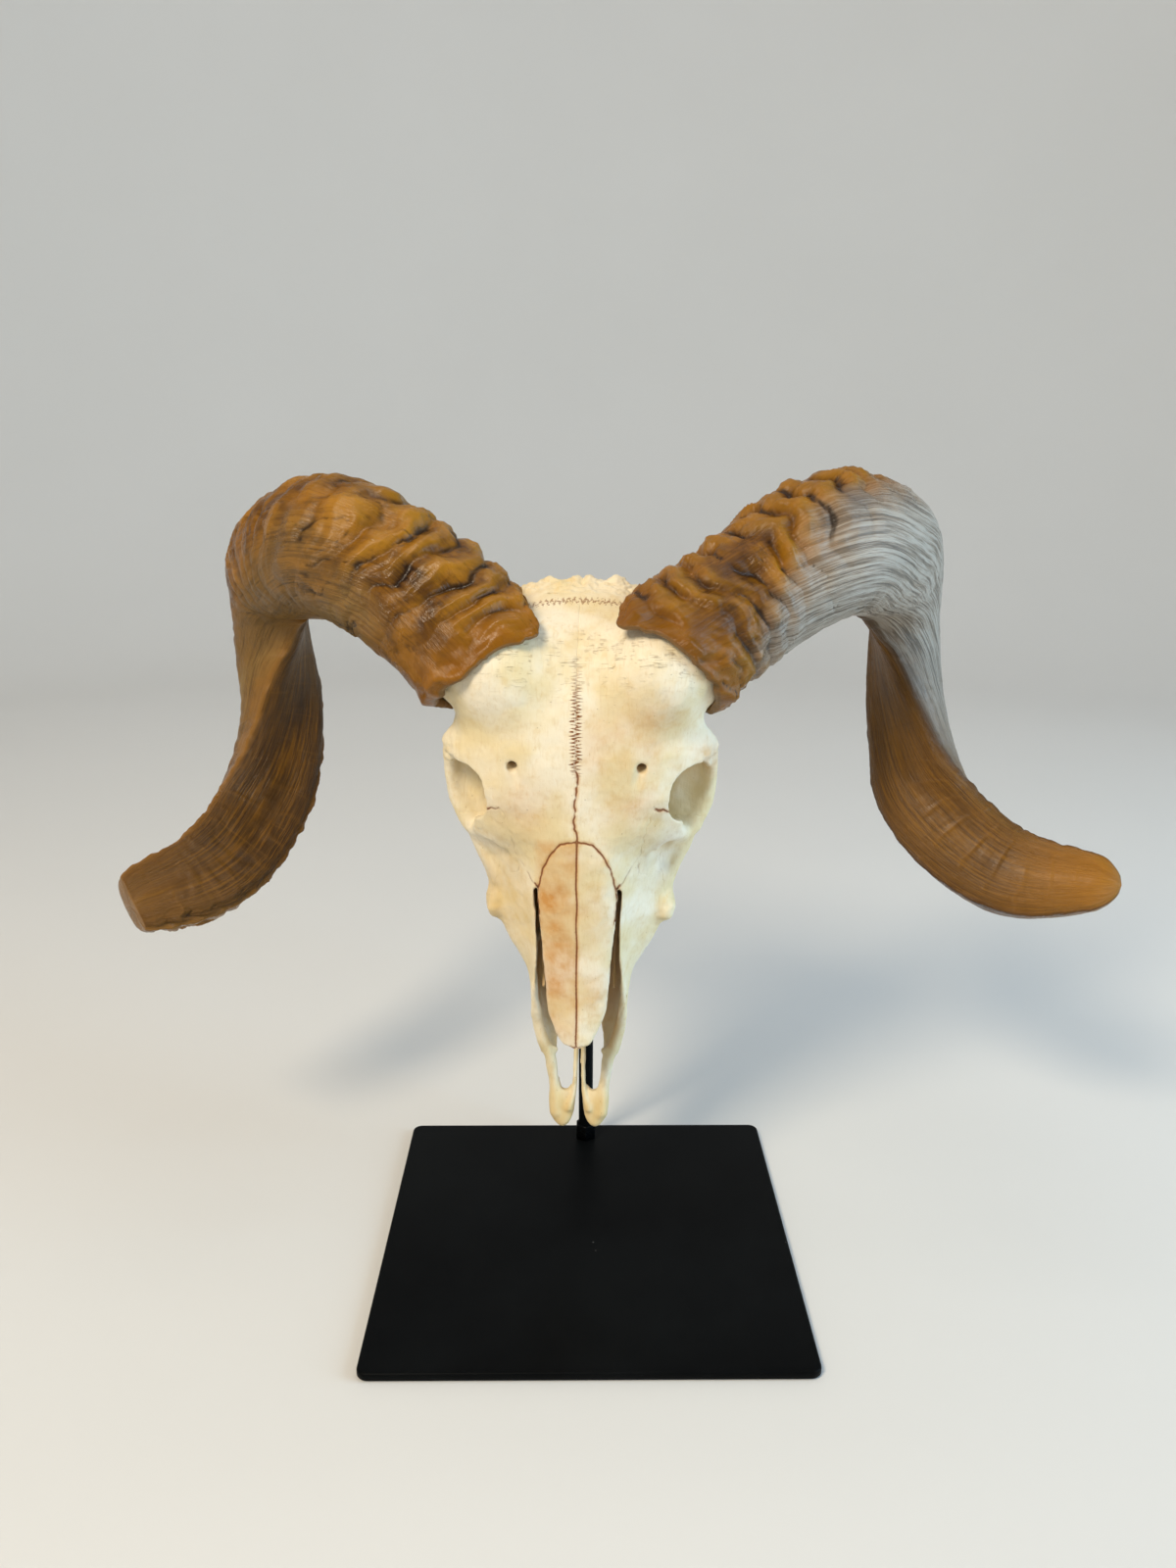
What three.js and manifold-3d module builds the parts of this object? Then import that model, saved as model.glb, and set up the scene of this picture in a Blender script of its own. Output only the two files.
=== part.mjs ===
// A domestic ram's skull with both horns, nose down on a museum rod and a flat square base.
//
// Part frame: millimetres, +Z up, -Y the front. The origin is the middle of the base's underside.
// Skull frame, used for every bone: x to the side, d up from the palate to the top of the head, and
// s from the tip of the nose to the nape. The skull hangs with s upright, tilted nose forward.
import * as THREE from "three";
import { mergeVertices } from "three/addons/utils/BufferGeometryUtils.js";
import Module from "manifold-3d";

const wasm = await Module();
wasm.setup();

// ---- Driving dimensions -------------------------------------------------------------------------
const GAP = 0.3; // between pieces that touch

const BASE = { side: 200, thickness: 4, corner: 5, bevel: 0.8 };
const ROD = { radius: 4, y: 87, top: 294 };
const NUT = { acrossCorners: 12, height: 9 };

const SKULL = {
  tilt: THREE.MathUtils.degToRad(21.2), // nose forward
  turn: THREE.MathUtils.degToRad(-3.3), // about the rod
  noseY: 12,
  noseZ: 57,
  start: 38, // s where the closed snout begins, behind the palatine fissures
  end: 268, // s of the flat face round the foramen magnum
  step: 9.6,
};
const WALL = 3; // of the nasal cavity's sides
const CAVITY = { sides: 12, floor: 4.5, narrowing: 0.28, roof: 3.6 };
const TEETH_LAP = 0.2; // each tooth runs into the next
const ORBIT = { x: 46, d: 62.5, s: 164, radius: 20.5, rim: 3.8 };
const TEETH = {
  first: 84, last: 152, count: 6, premolars: 3, premolarSize: 0.8, crown: 12, root: 6, thickness: 11,
};

// The lines of the head: each runs from the snout to the nape as [s, x, d].
const LINES = {
  roofMiddle: [[40, 0, 43], [75, 0, 54], [110, 0, 70], [144, 0, 86], [175, 0, 100], [205, 0, 106.5],
    [222, 0, 105], [246, 0, 88], [259, 0, 71], [268, 0, 44]],
  roofShoulder: [[40, 3, 42], [75, 9, 52.5], [110, 11, 68], [144, 16, 84], [175, 24, 98.5],
    [205, 28, 105], [222, 26, 104], [246, 17, 86.5], [259, 14, 70], [268, 8, 43]],
  roofEdge: [[40, 6, 40], [50, 11, 42], [75, 15, 49], [110, 18, 63], [130, 20, 72], [144, 30, 79],
    [160, 36, 88], [180, 46, 90], [205, 45, 96], [222, 40, 95], [246, 28, 80], [259, 24, 65], [268, 16, 41]],
  browEdge: [[40, 14, 27], [50, 18, 33], [75, 20.5, 40], [95, 22, 47], [110, 25, 53], [130, 30, 61],
    [144, 44, 68], [160, 45, 79], [172, 56, 76], [184, 64, 71], [196, 53, 80], [222, 45, 82],
    [246, 36, 68], [259, 33, 55], [268, 20, 37]],
  templeWall: [[40, 18, 19], [50, 21, 26], [75, 23, 32], [95, 28, 38], [110, 34, 42], [130, 37, 50],
    [144, 49, 56], [152, 34, 62], [162, 22, 68], [184, 24, 66], [205, 34, 66], [222, 36, 66],
    [246, 40, 54], [259, 38, 44], [268, 22, 32]],
  cheek: [[40, 20, 13], [50, 22.5, 18], [75, 25, 22], [95, 36, 26], [110, 42.5, 31], [130, 42, 39],
    [144, 51, 42], [152, 40, 38], [162, 26, 35], [184, 24, 38], [205, 33, 42], [222, 37, 42],
    [246, 43, 37], [259, 41, 32], [268, 22, 27]],
  gum: [[40, 17, 4], [50, 20, 5], [75, 24, 3], [95, 31, -3], [110, 35, -5], [144, 36, -4],
    [162, 33, 0], [175, 24, 6], [205, 22, 15], [222, 28, 18], [246, 36, 18], [259, 33, 18], [268, 18, 20]],
  palateEdge: [[40, 9, 1], [75, 15, 1], [110, 23, -2], [144, 24, -2], [162, 23, 1], [175, 16, 5],
    [205, 12, 10], [246, 16, 6], [259, 16, 8], [268, 10, 15]],
  palateMiddle: [[40, 0, 1], [75, 0, 3], [110, 0, 5], [150, 0, 7], [175, 0, 14], [205, 0, 12],
    [246, 0, 7], [259, 0, 9], [268, 0, 15]],
};

// Half of the nasal bones' outline from above, and of the opening round them, as [s, x].
const NASAL_EDGE = [[41, 0.6], [43, 6], [50, 10.3], [60, 13.8], [83, 16], [103, 17.8], [114, 18.6],
  [124, 15.6], [131, 11.6], [135.5, 7], [136.5, 0]];
const OPENING_EDGE = [[20, 17.5], [44, 17.5], [66, 21], [88, 19.4], [100, 19.7], [115, 20.3], [118, 17]];

// The other bones' outlines on the plan as [x, s], each between two heights, for the side where x is
// positive. They are parted in this order.
const REACH = { cavity: 27, top: 160, far: 200 };
const SUTURES = {
  premaxilla: { outline: [[0, -10], [60, -10], [60, 50], [0, 50]], low: -40, high: 60 },
  frontal: {
    outline: [[0, 110], [17.5, 116], [25.7, 123], [29, 136], [34, 151.5], [80, 151.5], [80, 246], [0, 246]],
    low: 64, high: REACH.top,
  },
  lacrimal: { outline: [[29.3, 136], [34.3, 151.2], [60, 151.2], [52, 134], [40, 132]], low: 55, high: 100 },
  zygomatic: { outline: [[38, 122], [75, 122], [75, 194], [52, 194], [40, 152]], low: 25, high: 63.5 },
  maxilla: { outline: [[0, 45], [60, 45], [60, 154], [0, 154]], low: -40, high: 90 },
};
const REAR_BONES = {
  parietal: { from: [-60, 56, 240], to: [60, 100, 254] },
  occipital: { from: [-60, -40, 250], to: [60, 100, 300] },
};

// Horn centre lines in the part frame, with half the breadth of the section and its height over its
// flat side at each point, and how far the section has rolled about the line, in degrees, so that the
// flat side comes to face forward. The horns are a pair, but one grew wider and kept its point.
const HORN_STATIONS = {
  left: [
    { at: [-43, 11, 292], breadth: 33, depth: 31, roll: 0 },
    { at: [-81, 28, 321], breadth: 32, depth: 30, roll: 14 },
    { at: [-115, 47, 341], breadth: 33, depth: 32, roll: 48 },
    { at: [-142, 77, 334], breadth: 31, depth: 30, roll: 86 },
    { at: [-160, 106, 320], breadth: 26.5, depth: 26, roll: 106 },
    { at: [-165, 118, 287], breadth: 22, depth: 23, roll: 90 },
    { at: [-165, 110, 242], breadth: 21.5, depth: 20.5, roll: 52 },
    { at: [-174, 90, 201], breadth: 23, depth: 21, roll: 42 },
    { at: [-193, 60, 175], breadth: 22, depth: 21, roll: 62 },
    { at: [-226, 33, 166], breadth: 15.5, depth: 15.5, roll: 80 },
  ],
  right: [
    { at: [33, 6, 293], breadth: 32, depth: 30.5, roll: -4 },
    { at: [73, 30, 318], breadth: 31, depth: 30, roll: 24 },
    { at: [112, 49, 343], breadth: 34, depth: 33, roll: 56 },
    { at: [140, 76, 338], breadth: 33, depth: 31.5, roll: 92 },
    { at: [158, 106, 323], breadth: 27, depth: 27, roll: 106 },
    { at: [167, 119, 294], breadth: 22, depth: 22.5, roll: 92 },
    { at: [173, 110, 247], breadth: 21.5, depth: 20, roll: 64 },
    { at: [185, 89, 201], breadth: 23.5, depth: 22, roll: 48 },
    { at: [217, 61, 174], breadth: 22, depth: 21, roll: 62 },
    { at: [265, 31, 177], breadth: 11.5, depth: 11.5, roll: 90 },
  ],
};
const CURL_AXIS = { y: 72, z: 258 };
const STEM = { in: 0.87, back: 0.15, down: 0.45, length: 28, sizes: [0.86, 0.74, 0.55] };
const HORN = {
  sides: 12, step: 11.5, ridge: 1.6, ridgeLength: 17,
  slant: 7, lap: 7, reach: 40, // the open end leans towards the head on its upper edge and in front
  flat: 0.7, // height of the flat side as a share of the depth
  sideRound: 0.85, outerRound: 0.9, flatRound: 0.6, // powers that square off the section
  parts: [
    { part: "base", from: 0, to: 0.36 },
    { part: "bend", from: 0.36, to: 0.7 },
    { part: "tip", from: 0.7, to: 1 },
  ],
};

// ---- Solids -------------------------------------------------------------------------------------
const point = (x, d, s) => new THREE.Vector3(x, -d, s);

function solid(geometry) {
  const bare = (geometry.index ? geometry.toNonIndexed() : geometry.clone());
  bare.deleteAttribute("normal");
  bare.deleteAttribute("uv");
  const merged = mergeVertices(bare, 1e-4);
  return new wasm.Manifold(new wasm.Mesh({
    numProp: 3,
    vertProperties: new Float32Array(merged.attributes.position.array),
    triVerts: new Uint32Array(merged.index.array),
  }));
}

function geometryOf(made) {
  const mesh = made.getMesh();
  const geometry = new THREE.BufferGeometry();
  geometry.setAttribute("position", new THREE.BufferAttribute(new Float32Array(mesh.vertProperties), 3));
  geometry.setIndex(new THREE.BufferAttribute(new Uint32Array(mesh.triVerts), 1));
  geometry.computeVertexNormals();
  return geometry;
}

// A closed body through rings of the same number of points, with fanned ends, or joined end to end.
function loft(rings, joined = false) {
  const n = rings[0].length;
  const corners = rings.flat();
  const faces = [];
  const last = joined ? rings.length : rings.length - 1;
  for (let i = 0; i < last; i++) {
    for (let j = 0; j < n; j++) {
      const a = i * n + j;
      const b = i * n + ((j + 1) % n);
      const c = ((i + 1) % rings.length) * n;
      faces.push(a, b, c + j, b, c + ((j + 1) % n), c + j);
    }
  }
  if (!joined) {
    for (const [row, flip] of [[0, true], [rings.length - 1, false]]) {
      const middle = rings[row].reduce((sum, p) => sum.add(p), new THREE.Vector3()).divideScalar(n);
      const hub = corners.push(middle) - 1;
      for (let j = 0; j < n; j++) {
        const edge = [row * n + j, row * n + ((j + 1) % n)];
        faces.push(...(flip ? [edge[1], edge[0], hub] : [edge[0], edge[1], hub]));
      }
    }
  }
  const geometry = new THREE.BufferGeometry().setFromPoints(corners);
  geometry.setIndex(faces);
  const made = solid(geometry);
  if (made.volume() > 0) return made;
  for (let k = 0; k < faces.length; k += 3) [faces[k + 1], faces[k + 2]] = [faces[k + 2], faces[k + 1]];
  geometry.setIndex(faces);
  return solid(geometry);
}

// A smooth bar through points with an elliptic section: each station is [x, d, s, across, along].
// "along" is measured along the wanted direction, "across" square to it.
function bar(stations, wanted = new THREE.Vector3(0, 1, 0), { sides = 8, steps = 12, joined = false } = {}) {
  const path = new THREE.CatmullRomCurve3(stations.map(([x, d, s]) => point(x, d, s)), joined);
  const rings = [];
  const count = joined ? steps - 1 : steps;
  for (let i = 0; i <= count; i++) {
    const t = i / steps;
    const at = path.getPoint(t);
    const tangent = path.getTangent(t);
    const along = wanted.clone().addScaledVector(tangent, -wanted.dot(tangent)).normalize();
    const across = new THREE.Vector3().crossVectors(tangent, along);
    const place = t * (joined ? stations.length : stations.length - 1);
    const k = Math.min(Math.floor(place), stations.length - 1);
    const next = stations[joined ? (k + 1) % stations.length : Math.min(k + 1, stations.length - 1)];
    const half = [3, 4].map((c) => THREE.MathUtils.lerp(stations[k][c], next[c], place - k));
    rings.push(Array.from({ length: sides }, (_, j) => {
      const angle = (j / sides) * 2 * Math.PI;
      return at.clone()
        .addScaledVector(across, half[0] * Math.cos(angle))
        .addScaledVector(along, half[1] * Math.sin(angle));
    }));
  }
  return loft(rings, joined);
}

function ball(x, d, s, rx, rd, rs, detail = 12) {
  const geometry = new THREE.SphereGeometry(1, detail, Math.round(detail * 0.7));
  geometry.scale(rx, rd, rs);
  geometry.translate(x, -d, s);
  return solid(geometry);
}

// A block between two corners of the skull frame.
function block([x0, d0, s0], [x1, d1, s1]) {
  const geometry = new THREE.BoxGeometry(x1 - x0, d1 - d0, s1 - s0);
  geometry.translate((x0 + x1) / 2, -(d0 + d1) / 2, (s0 + s1) / 2);
  return solid(geometry);
}

// Everything above an outline on the skull's plan, given as [x, s] points, between two heights.
function planCut(outline, low, high) {
  const shape = new THREE.Shape(outline.map(([x, s]) => new THREE.Vector2(x, s)));
  const geometry = new THREE.ExtrudeGeometry(shape, { depth: high - low, bevelEnabled: false });
  geometry.rotateX(Math.PI / 2);
  geometry.translate(0, -low, 0);
  return solid(geometry);
}

const both = (make) => make(1).add(make(-1));

// ---- The head's lines ---------------------------------------------------------------------------
// Smooth value through [s, value] knots that never overshoots them.
function smoothThrough(knots, s) {
  const last = knots.length - 1;
  if (s <= knots[0][0]) return knots[0][1];
  if (s >= knots[last][0]) return knots[last][1];
  const k = knots.findIndex(([at]) => at > s) - 1;
  const slope = (i) => (knots[i + 1][1] - knots[i][1]) / (knots[i + 1][0] - knots[i][0]);
  const bend = (i) => {
    if (i <= 0 || i >= last) return slope(Math.min(Math.max(i, 0), last - 1));
    const [before, after] = [slope(i - 1), slope(i)];
    return before * after <= 0 ? 0 : (2 * before * after) / (before + after);
  };
  const width = knots[k + 1][0] - knots[k][0];
  const t = (s - knots[k][0]) / width;
  return (knots[k][1] * (1 + 2 * t) * (1 - t) ** 2 + knots[k + 1][1] * t * t * (3 - 2 * t)
    + width * (bend(k) * t * (1 - t) ** 2 - bend(k + 1) * t * t * (1 - t)));
}

const lineAt = (line, s) => [1, 2].map((c) => smoothThrough(LINES[line].map((k) => [k[0], k[c]]), s));

function headRing(s) {
  const half = Object.keys(LINES).map((line) => lineAt(line, s));
  const mirrored = half.slice(1, -1).reverse().map(([x, d]) => [-x, d]);
  return [...half, ...mirrored].map(([x, d]) => point(x, d, s));
}

function head() {
  const count = Math.round((SKULL.end - SKULL.start) / SKULL.step);
  return loft(Array.from({ length: count + 1 }, (_, i) =>
    headRing(THREE.MathUtils.lerp(SKULL.start, SKULL.end, i / count))));
}

// The air inside the snout, open at the front, from the palate to the underside of the roof.
function nasalCavity() {
  const rings = [30, 44, 60, 80, 100, 120, 138, 150].map((s) => {
    const [, roof] = lineAt("roofMiddle", s);
    const [cheek] = lineAt("cheek", s);
    const top = roof - CAVITY.roof;
    const middle = (top + CAVITY.floor) / 2;
    const half = smoothThrough([[30, 17], [44, 18.2], [75, 21], [100, 22], [130, 20], [150, 12]], s);
    return Array.from({ length: CAVITY.sides }, (_, j) => {
      const angle = (j / CAVITY.sides) * 2 * Math.PI;
      const narrow = 1 - CAVITY.narrowing * Math.max(Math.sin(angle), 0);
      return point(Math.min(half, cheek - WALL) * narrow * Math.cos(angle),
        middle + (top - middle) * Math.sin(angle), s);
    });
  });
  return loft(rings);
}

// ---- Bones --------------------------------------------------------------------------------------
function orbit(side) {
  const { x, d, s, radius } = ORBIT;
  return ball(side * x, d, s, radius, radius, radius, 10);
}

// The raised ring of bone round each eye.
function orbitRim(side) {
  const ring = [[61, 68, 181], [60, 60, 170], [56.5, 52, 156], [49.5, 49.5, 145], [45, 61, 145.5],
    [43, 72, 153], [43.5, 78, 164], [53, 75, 173]];
  return bar(ring.map(([x, d, s]) => [side * x, d, s, ORBIT.rim, ORBIT.rim]), undefined,
    { sides: 6, steps: 16, joined: true });
}

// The cheek bone's arch, from the facial tuber under the orbit back to the ear.
function zygomaticArch(side) {
  return bar([[side * 41, 34, 122, 3, 6], [side * 51, 40, 145, 4, 9], [side * 58, 43, 164, 3, 9],
    [side * 60, 42, 180, 2.5, 7.5], [side * 56, 36, 198, 3, 5.5], [side * 46, 31, 212, 4, 5],
    [side * 34, 30, 222, 5, 5]], undefined, { sides: 6, steps: 12 });
}

// The bone that carries a horn: a short stem from inside the brow to the horn's open end.
function hornStem(stations) {
  const curve = hornCurve(stations);
  const middle = curve.getPoint(0);
  const into = new THREE.Vector3(-Math.sign(middle.x) * STEM.in, STEM.back, -STEM.down).normalize();
  const rings = STEM.sizes.map((size, i) => {
    const distance = GAP + (i * STEM.length) / (STEM.sizes.length - 1);
    return hornRing(stations, curve, 0, 0)
      .map((p) => p.sub(middle).multiplyScalar(size).add(middle).addScaledVector(into, distance));
  });
  return loft(rings);
}

function occipital() {
  const crest = bar([[-42, 30, 253, 5, 4], [-35, 50, 253, 4, 4], [-20, 67, 256, 3.5, 4], [0, 66, 258, 3.5, 4],
    [20, 67, 256, 3.5, 4], [35, 50, 253, 4, 4], [42, 30, 253, 5, 4]], undefined, { sides: 6, steps: 10 });
  const condyles = both((side) => ball(side * 15, 18, 267, 10, 13, 8, 8));
  const jugular = both((side) => bar([[side * 32, 20, 254, 5, 6], [side * 31, 2, 257, 4, 5],
    [side * 27, -16, 255, 2, 3]], new THREE.Vector3(0, 0, 1), { sides: 6, steps: 4 }));
  return crest.add(condyles).add(jugular);
}

const foramenMagnum = () => ball(0, 27, 270, 9, 9, 22, 9);

function skullBase() {
  const bullae = both((side) => ball(side * 24, 4, 232, 8, 9, 13, 9));
  const earTubes = both((side) => bar([[side * 30, 20, 240, 5, 5], [side * 43, 27, 242, 4, 4]],
    new THREE.Vector3(0, 0, 1), { sides: 6, steps: 2 }));
  const wings = both((side) => bar([[side * 17, 3, 160, 2.5, 5], [side * 13, -3, 178, 2, 7],
    [side * 12, 2, 196, 2, 9], [side * 13, 8, 214, 2, 5]], undefined, { sides: 6, steps: 6 }));
  return bullae.add(earTubes).add(wings);
}

// Half of everything, off the middle by half a gap.
function half(side) {
  const from = side > 0 ? GAP / 2 : -REACH.far;
  const to = side > 0 ? REACH.far : -GAP / 2;
  return block([from, -REACH.far, -REACH.far], [to, REACH.far, 2 * REACH.far]);
}

// An outline on the plan pushed out by a little at each corner.
function widened(outline, by) {
  const turning = outline.reduce((sum, [x, s], i) => {
    const [nextX, nextS] = outline[(i + 1) % outline.length];
    return sum + x * nextS - nextX * s;
  }, 0);
  return outline.map(([x, s], i) => {
    const [before, after] = [outline.at(i - 1), outline[(i + 1) % outline.length]];
    const [dx, ds] = [after[0] - before[0], after[1] - before[1]];
    const push = (Math.sign(turning) * Math.SQRT2 * by) / Math.hypot(dx, ds);
    return [x + push * ds, s - push * dx];
  });
}

// A closed outline on the plan from one side's [s, x] edge, with its mirror image.
const mirrored = (edge, grow = 0) => [
  ...edge.map(([s, x]) => [x + grow, s]),
  ...edge.slice().reverse().map(([s, x]) => [-x - grow, s]),
];

function premaxilla(side) {
  const body = ball(side * 8.4, 2, 8, 7.2, 3.8, 9.2, 8);
  const outer = bar([[side * 11, 2, 6, 3, 3.4], [side * 12.8, 4, 20, 2.8, 3.4],
    [side * 14.6, 8, 33, 2.8, 4.5], [side * 18, 13, 42, 2.4, 6], [side * 20, 17, 50, 2, 7]],
  undefined, { sides: 6, steps: 8 });
  const inner = bar([[side * 5, 3, 8, 3, 2.6], [side * 3.1, 4, 18, 1.5, 2.4], [side * 2.6, 6, 34, 1.5, 2.6],
    [side * 2.4, 6, 50, 1.6, 2.6]], undefined, { sides: 6, steps: 6 });
  return body.add(outer).add(inner);
}

function toothRow(side) {
  const pitch = (TEETH.last - TEETH.first) / TEETH.count;
  let row = null;
  for (let i = 0; i < TEETH.count; i++) {
    const s = TEETH.first + (i + 0.5) * pitch;
    const x = lineAt("gum", s)[0] - TEETH.thickness / 2 - 0.5;
    const gum = lineAt("gum", s)[1];
    const reach = (TEETH.thickness * (i < TEETH.premolars ? TEETH.premolarSize : 1)) / 2;
    const along = pitch / 2 + TEETH_LAP;
    const tooth = block([side * x - reach, gum - TEETH.crown, s - along],
      [side * x + reach, gum + TEETH.root, s + along]);
    row = row ? row.add(tooth) : tooth;
  }
  return row;
}

// ---- Horns --------------------------------------------------------------------------------------
function hornCurve(stations) {
  return new THREE.CatmullRomCurve3(stations.map(({ at }) => new THREE.Vector3(...at)), false, "centripetal");
}

function hornSize(stations, t, key) {
  const knots = stations.map((station, i) => [i / (stations.length - 1), station[key]]);
  return smoothThrough(knots, t);
}

// Outer half of the section is full and round, the side towards the curl's axis is flat.
function hornRing(stations, curve, t, travelled) {
  const at = curve.getPoint(t);
  const tangent = curve.getTangent(t);
  const outward = new THREE.Vector3(0, at.y - CURL_AXIS.y, at.z - CURL_AXIS.z);
  outward.addScaledVector(tangent, -outward.dot(tangent)).normalize();
  const across = new THREE.Vector3().crossVectors(tangent, outward);
  const side = Math.sign(at.x);
  const roll = side * THREE.MathUtils.degToRad(hornSize(stations, t, "roll"));
  outward.applyAxisAngle(tangent, roll);
  across.applyAxisAngle(tangent, roll);
  const leaning = Math.exp(-travelled / HORN.reach);
  const swell = HORN.ridge * Math.sin((2 * Math.PI * travelled) / HORN.ridgeLength) * (1 - t);
  const [breadth, depth] = ["breadth", "depth"].map((key) => hornSize(stations, t, key));
  return Array.from({ length: HORN.sides }, (_, j) => {
    const angle = (j / HORN.sides) * 2 * Math.PI;
    const [c, v] = [Math.cos(angle), Math.sin(angle)];
    const round = (value, power) => Math.sign(value) * Math.abs(value) ** power;
    const height = v > 0 ? (depth + swell) * round(v, HORN.outerRound)
      : depth * HORN.flat * round(v, HORN.flatRound);
    const width = (breadth + 0.5 * swell) * round(c, HORN.sideRound);
    const slide = (side * HORN.slant * width) / breadth - (HORN.lap * Math.max(height, 0)) / depth;
    return at.clone()
      .addScaledVector(across, width)
      .addScaledVector(outward, height)
      .addScaledVector(tangent, leaning * slide);
  });
}

// A length of horn between two places along it, from 0 at the head to 1 at the end, made fatter by grow.
function hornLength(stations, from, to, grow = 0) {
  const fatter = stations.map(({ breadth, depth, ...station }) =>
    ({ ...station, breadth: breadth + grow, depth: depth + grow }));
  const curve = hornCurve(stations);
  const length = curve.getLength();
  const count = Math.round(((to - from) * length) / HORN.step);
  const back = curve.getTangent(from).multiplyScalar(-grow);
  return loft(Array.from({ length: count + 1 }, (_, i) => {
    const t = from + ((to - from) * i) / count;
    const ring = hornRing(fatter, curve, t, t * length);
    return i === 0 ? ring.map((p) => p.add(back)) : ring;
  }));
}

function hornParts(name) {
  const stations = HORN_STATIONS[name];
  const gap = GAP / 2 / hornCurve(stations).getLength();
  return HORN.parts.map(({ part, from, to }) => ({
    name: `horn_${name}_${part}`,
    made: hornLength(stations, from > 0 ? from + gap : from, to < 1 ? to - gap : to),
  }));
}

// ---- Stand --------------------------------------------------------------------------------------
function basePlate() {
  const half = BASE.side / 2;
  const shape = new THREE.Shape();
  const corners = [[1, -1], [1, 1], [-1, 1], [-1, -1]];
  corners.forEach(([x, y], i) => {
    const from = -Math.PI / 2 + (i * Math.PI) / 2;
    const inner = half - BASE.bevel - (BASE.corner - BASE.bevel);
    shape.absarc(x * inner, y * inner, BASE.corner - BASE.bevel, from, from + Math.PI / 2, false);
  });
  const geometry = new THREE.ExtrudeGeometry(shape, {
    depth: BASE.thickness - 2 * BASE.bevel, bevelThickness: BASE.bevel, bevelSize: BASE.bevel,
    bevelSegments: 2, curveSegments: 4,
  });
  geometry.translate(0, 0, BASE.bevel);
  return geometry;
}

const standRod = (grow = 0) => {
  const low = BASE.thickness + GAP;
  const geometry = new THREE.CylinderGeometry(ROD.radius + grow, ROD.radius + grow, ROD.top + grow - low, 16);
  geometry.rotateX(Math.PI / 2);
  geometry.translate(0, ROD.y, (ROD.top + grow + low) / 2);
  return geometry;
};

function standNut() {
  const low = BASE.thickness + GAP;
  const geometry = new THREE.CylinderGeometry(NUT.acrossCorners / 2, NUT.acrossCorners / 2, NUT.height, 6);
  geometry.rotateX(Math.PI / 2);
  geometry.translate(0, ROD.y, low + NUT.height / 2);
  return geometryOf(solid(geometry).subtract(solid(standRod(GAP))));
}

// ---- Materials ----------------------------------------------------------------------------------
const bone = new THREE.MeshStandardMaterial({ color: 0xe9d9b4, roughness: 0.6, metalness: 0 });
const nasalBone = new THREE.MeshStandardMaterial({ color: 0xe2c9a0, roughness: 0.6, metalness: 0 });
const horn = new THREE.MeshStandardMaterial({ color: 0x8a5f30, roughness: 0.45, metalness: 0 });
const blackSteel = new THREE.MeshStandardMaterial({ color: 0x0b0c0d, roughness: 0.5, metalness: 0.4 });

// ---- Assembly -----------------------------------------------------------------------------------
const ram = new THREE.Group();

function place(parent, name, geometry, material) {
  const mesh = new THREE.Mesh(geometry, material);
  mesh.name = name;
  parent.add(mesh);
  return mesh;
}

place(ram, "stand_base", basePlate(), blackSteel);
place(ram, "stand_rod", standRod(), blackSteel);
place(ram, "stand_nut", standNut(), blackSteel);

const onRod = new THREE.Group();
onRod.position.set(0, ROD.y, 0);
onRod.rotation.z = SKULL.turn;
ram.add(onRod);
const skull = new THREE.Group();
skull.position.set(0, SKULL.noseY - ROD.y, SKULL.noseZ);
skull.rotation.x = -SKULL.tilt;
onRod.add(skull);
ram.updateMatrixWorld(true);
const toSkull = skull.matrixWorld.clone().invert();
const intoSkull = (made) => solid(geometryOf(made).applyMatrix4(toSkull));
const sides = [["left", -1], ["right", 1]];

let rest = head()
  .subtract(both(orbit))
  .add(both(orbitRim))
  .add(both(zygomaticArch))
  .add(occipital())
  .add(skullBase())
  .subtract(foramenMagnum())
  .subtract(nasalCavity())
  .add(both(premaxilla))
  .add(both(toothRow))
  .subtract(intoSkull(solid(standRod(GAP))));
for (const [name] of sides) {
  const stations = HORN_STATIONS[name];
  rest = rest
    .add(intoSkull(hornStem(stations)))
    .subtract(intoSkull(hornLength(stations, 0, HORN.parts[0].to, GAP)));
}

// The bones, taken one after another out of what is left of the skull. Each is the part inside an
// upright cut through its sutures, and the cut that leaves the rest is wider by the gap.
const bones = {};

for (const [name, side] of sides) {
  const roof = rest.intersect(planCut(mirrored(NASAL_EDGE), REACH.cavity, REACH.top));
  bones[`nasal_${name}`] = roof.intersect(half(side));
}
rest = rest
  .subtract(planCut(mirrored(NASAL_EDGE, GAP), REACH.cavity, REACH.top))
  .subtract(planCut(mirrored(OPENING_EDGE), REACH.cavity, REACH.top));

for (const [bone, { outline, low, high }] of Object.entries(SUTURES)) {
  for (const [name, side] of sides) {
    const cut = outline.map(([x, s]) => [side * x, s]);
    bones[`${bone}_${name}`] = rest.intersect(planCut(cut, low, high)).intersect(half(side));
    rest = rest.subtract(planCut(widened(cut, GAP), low - GAP, high + GAP));
  }
}
for (const [bone, { from, to }] of Object.entries(REAR_BONES)) {
  bones[bone] = rest.intersect(block(from, to));
  rest = rest.subtract(block(from.map((v) => v - GAP), to.map((v) => v + GAP)));
}
bones.braincase = rest;

for (const [name, made] of Object.entries(bones)) {
  place(skull, name, geometryOf(made), name.startsWith("nasal") ? nasalBone : bone);
}
for (const { name, made } of sides.flatMap(([name]) => hornParts(name))) {
  place(ram, name, geometryOf(made), horn);
}

export default ram;
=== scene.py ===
import math

import bpy
import numpy as np
import openvdb
from mathutils import Matrix, Vector


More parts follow.
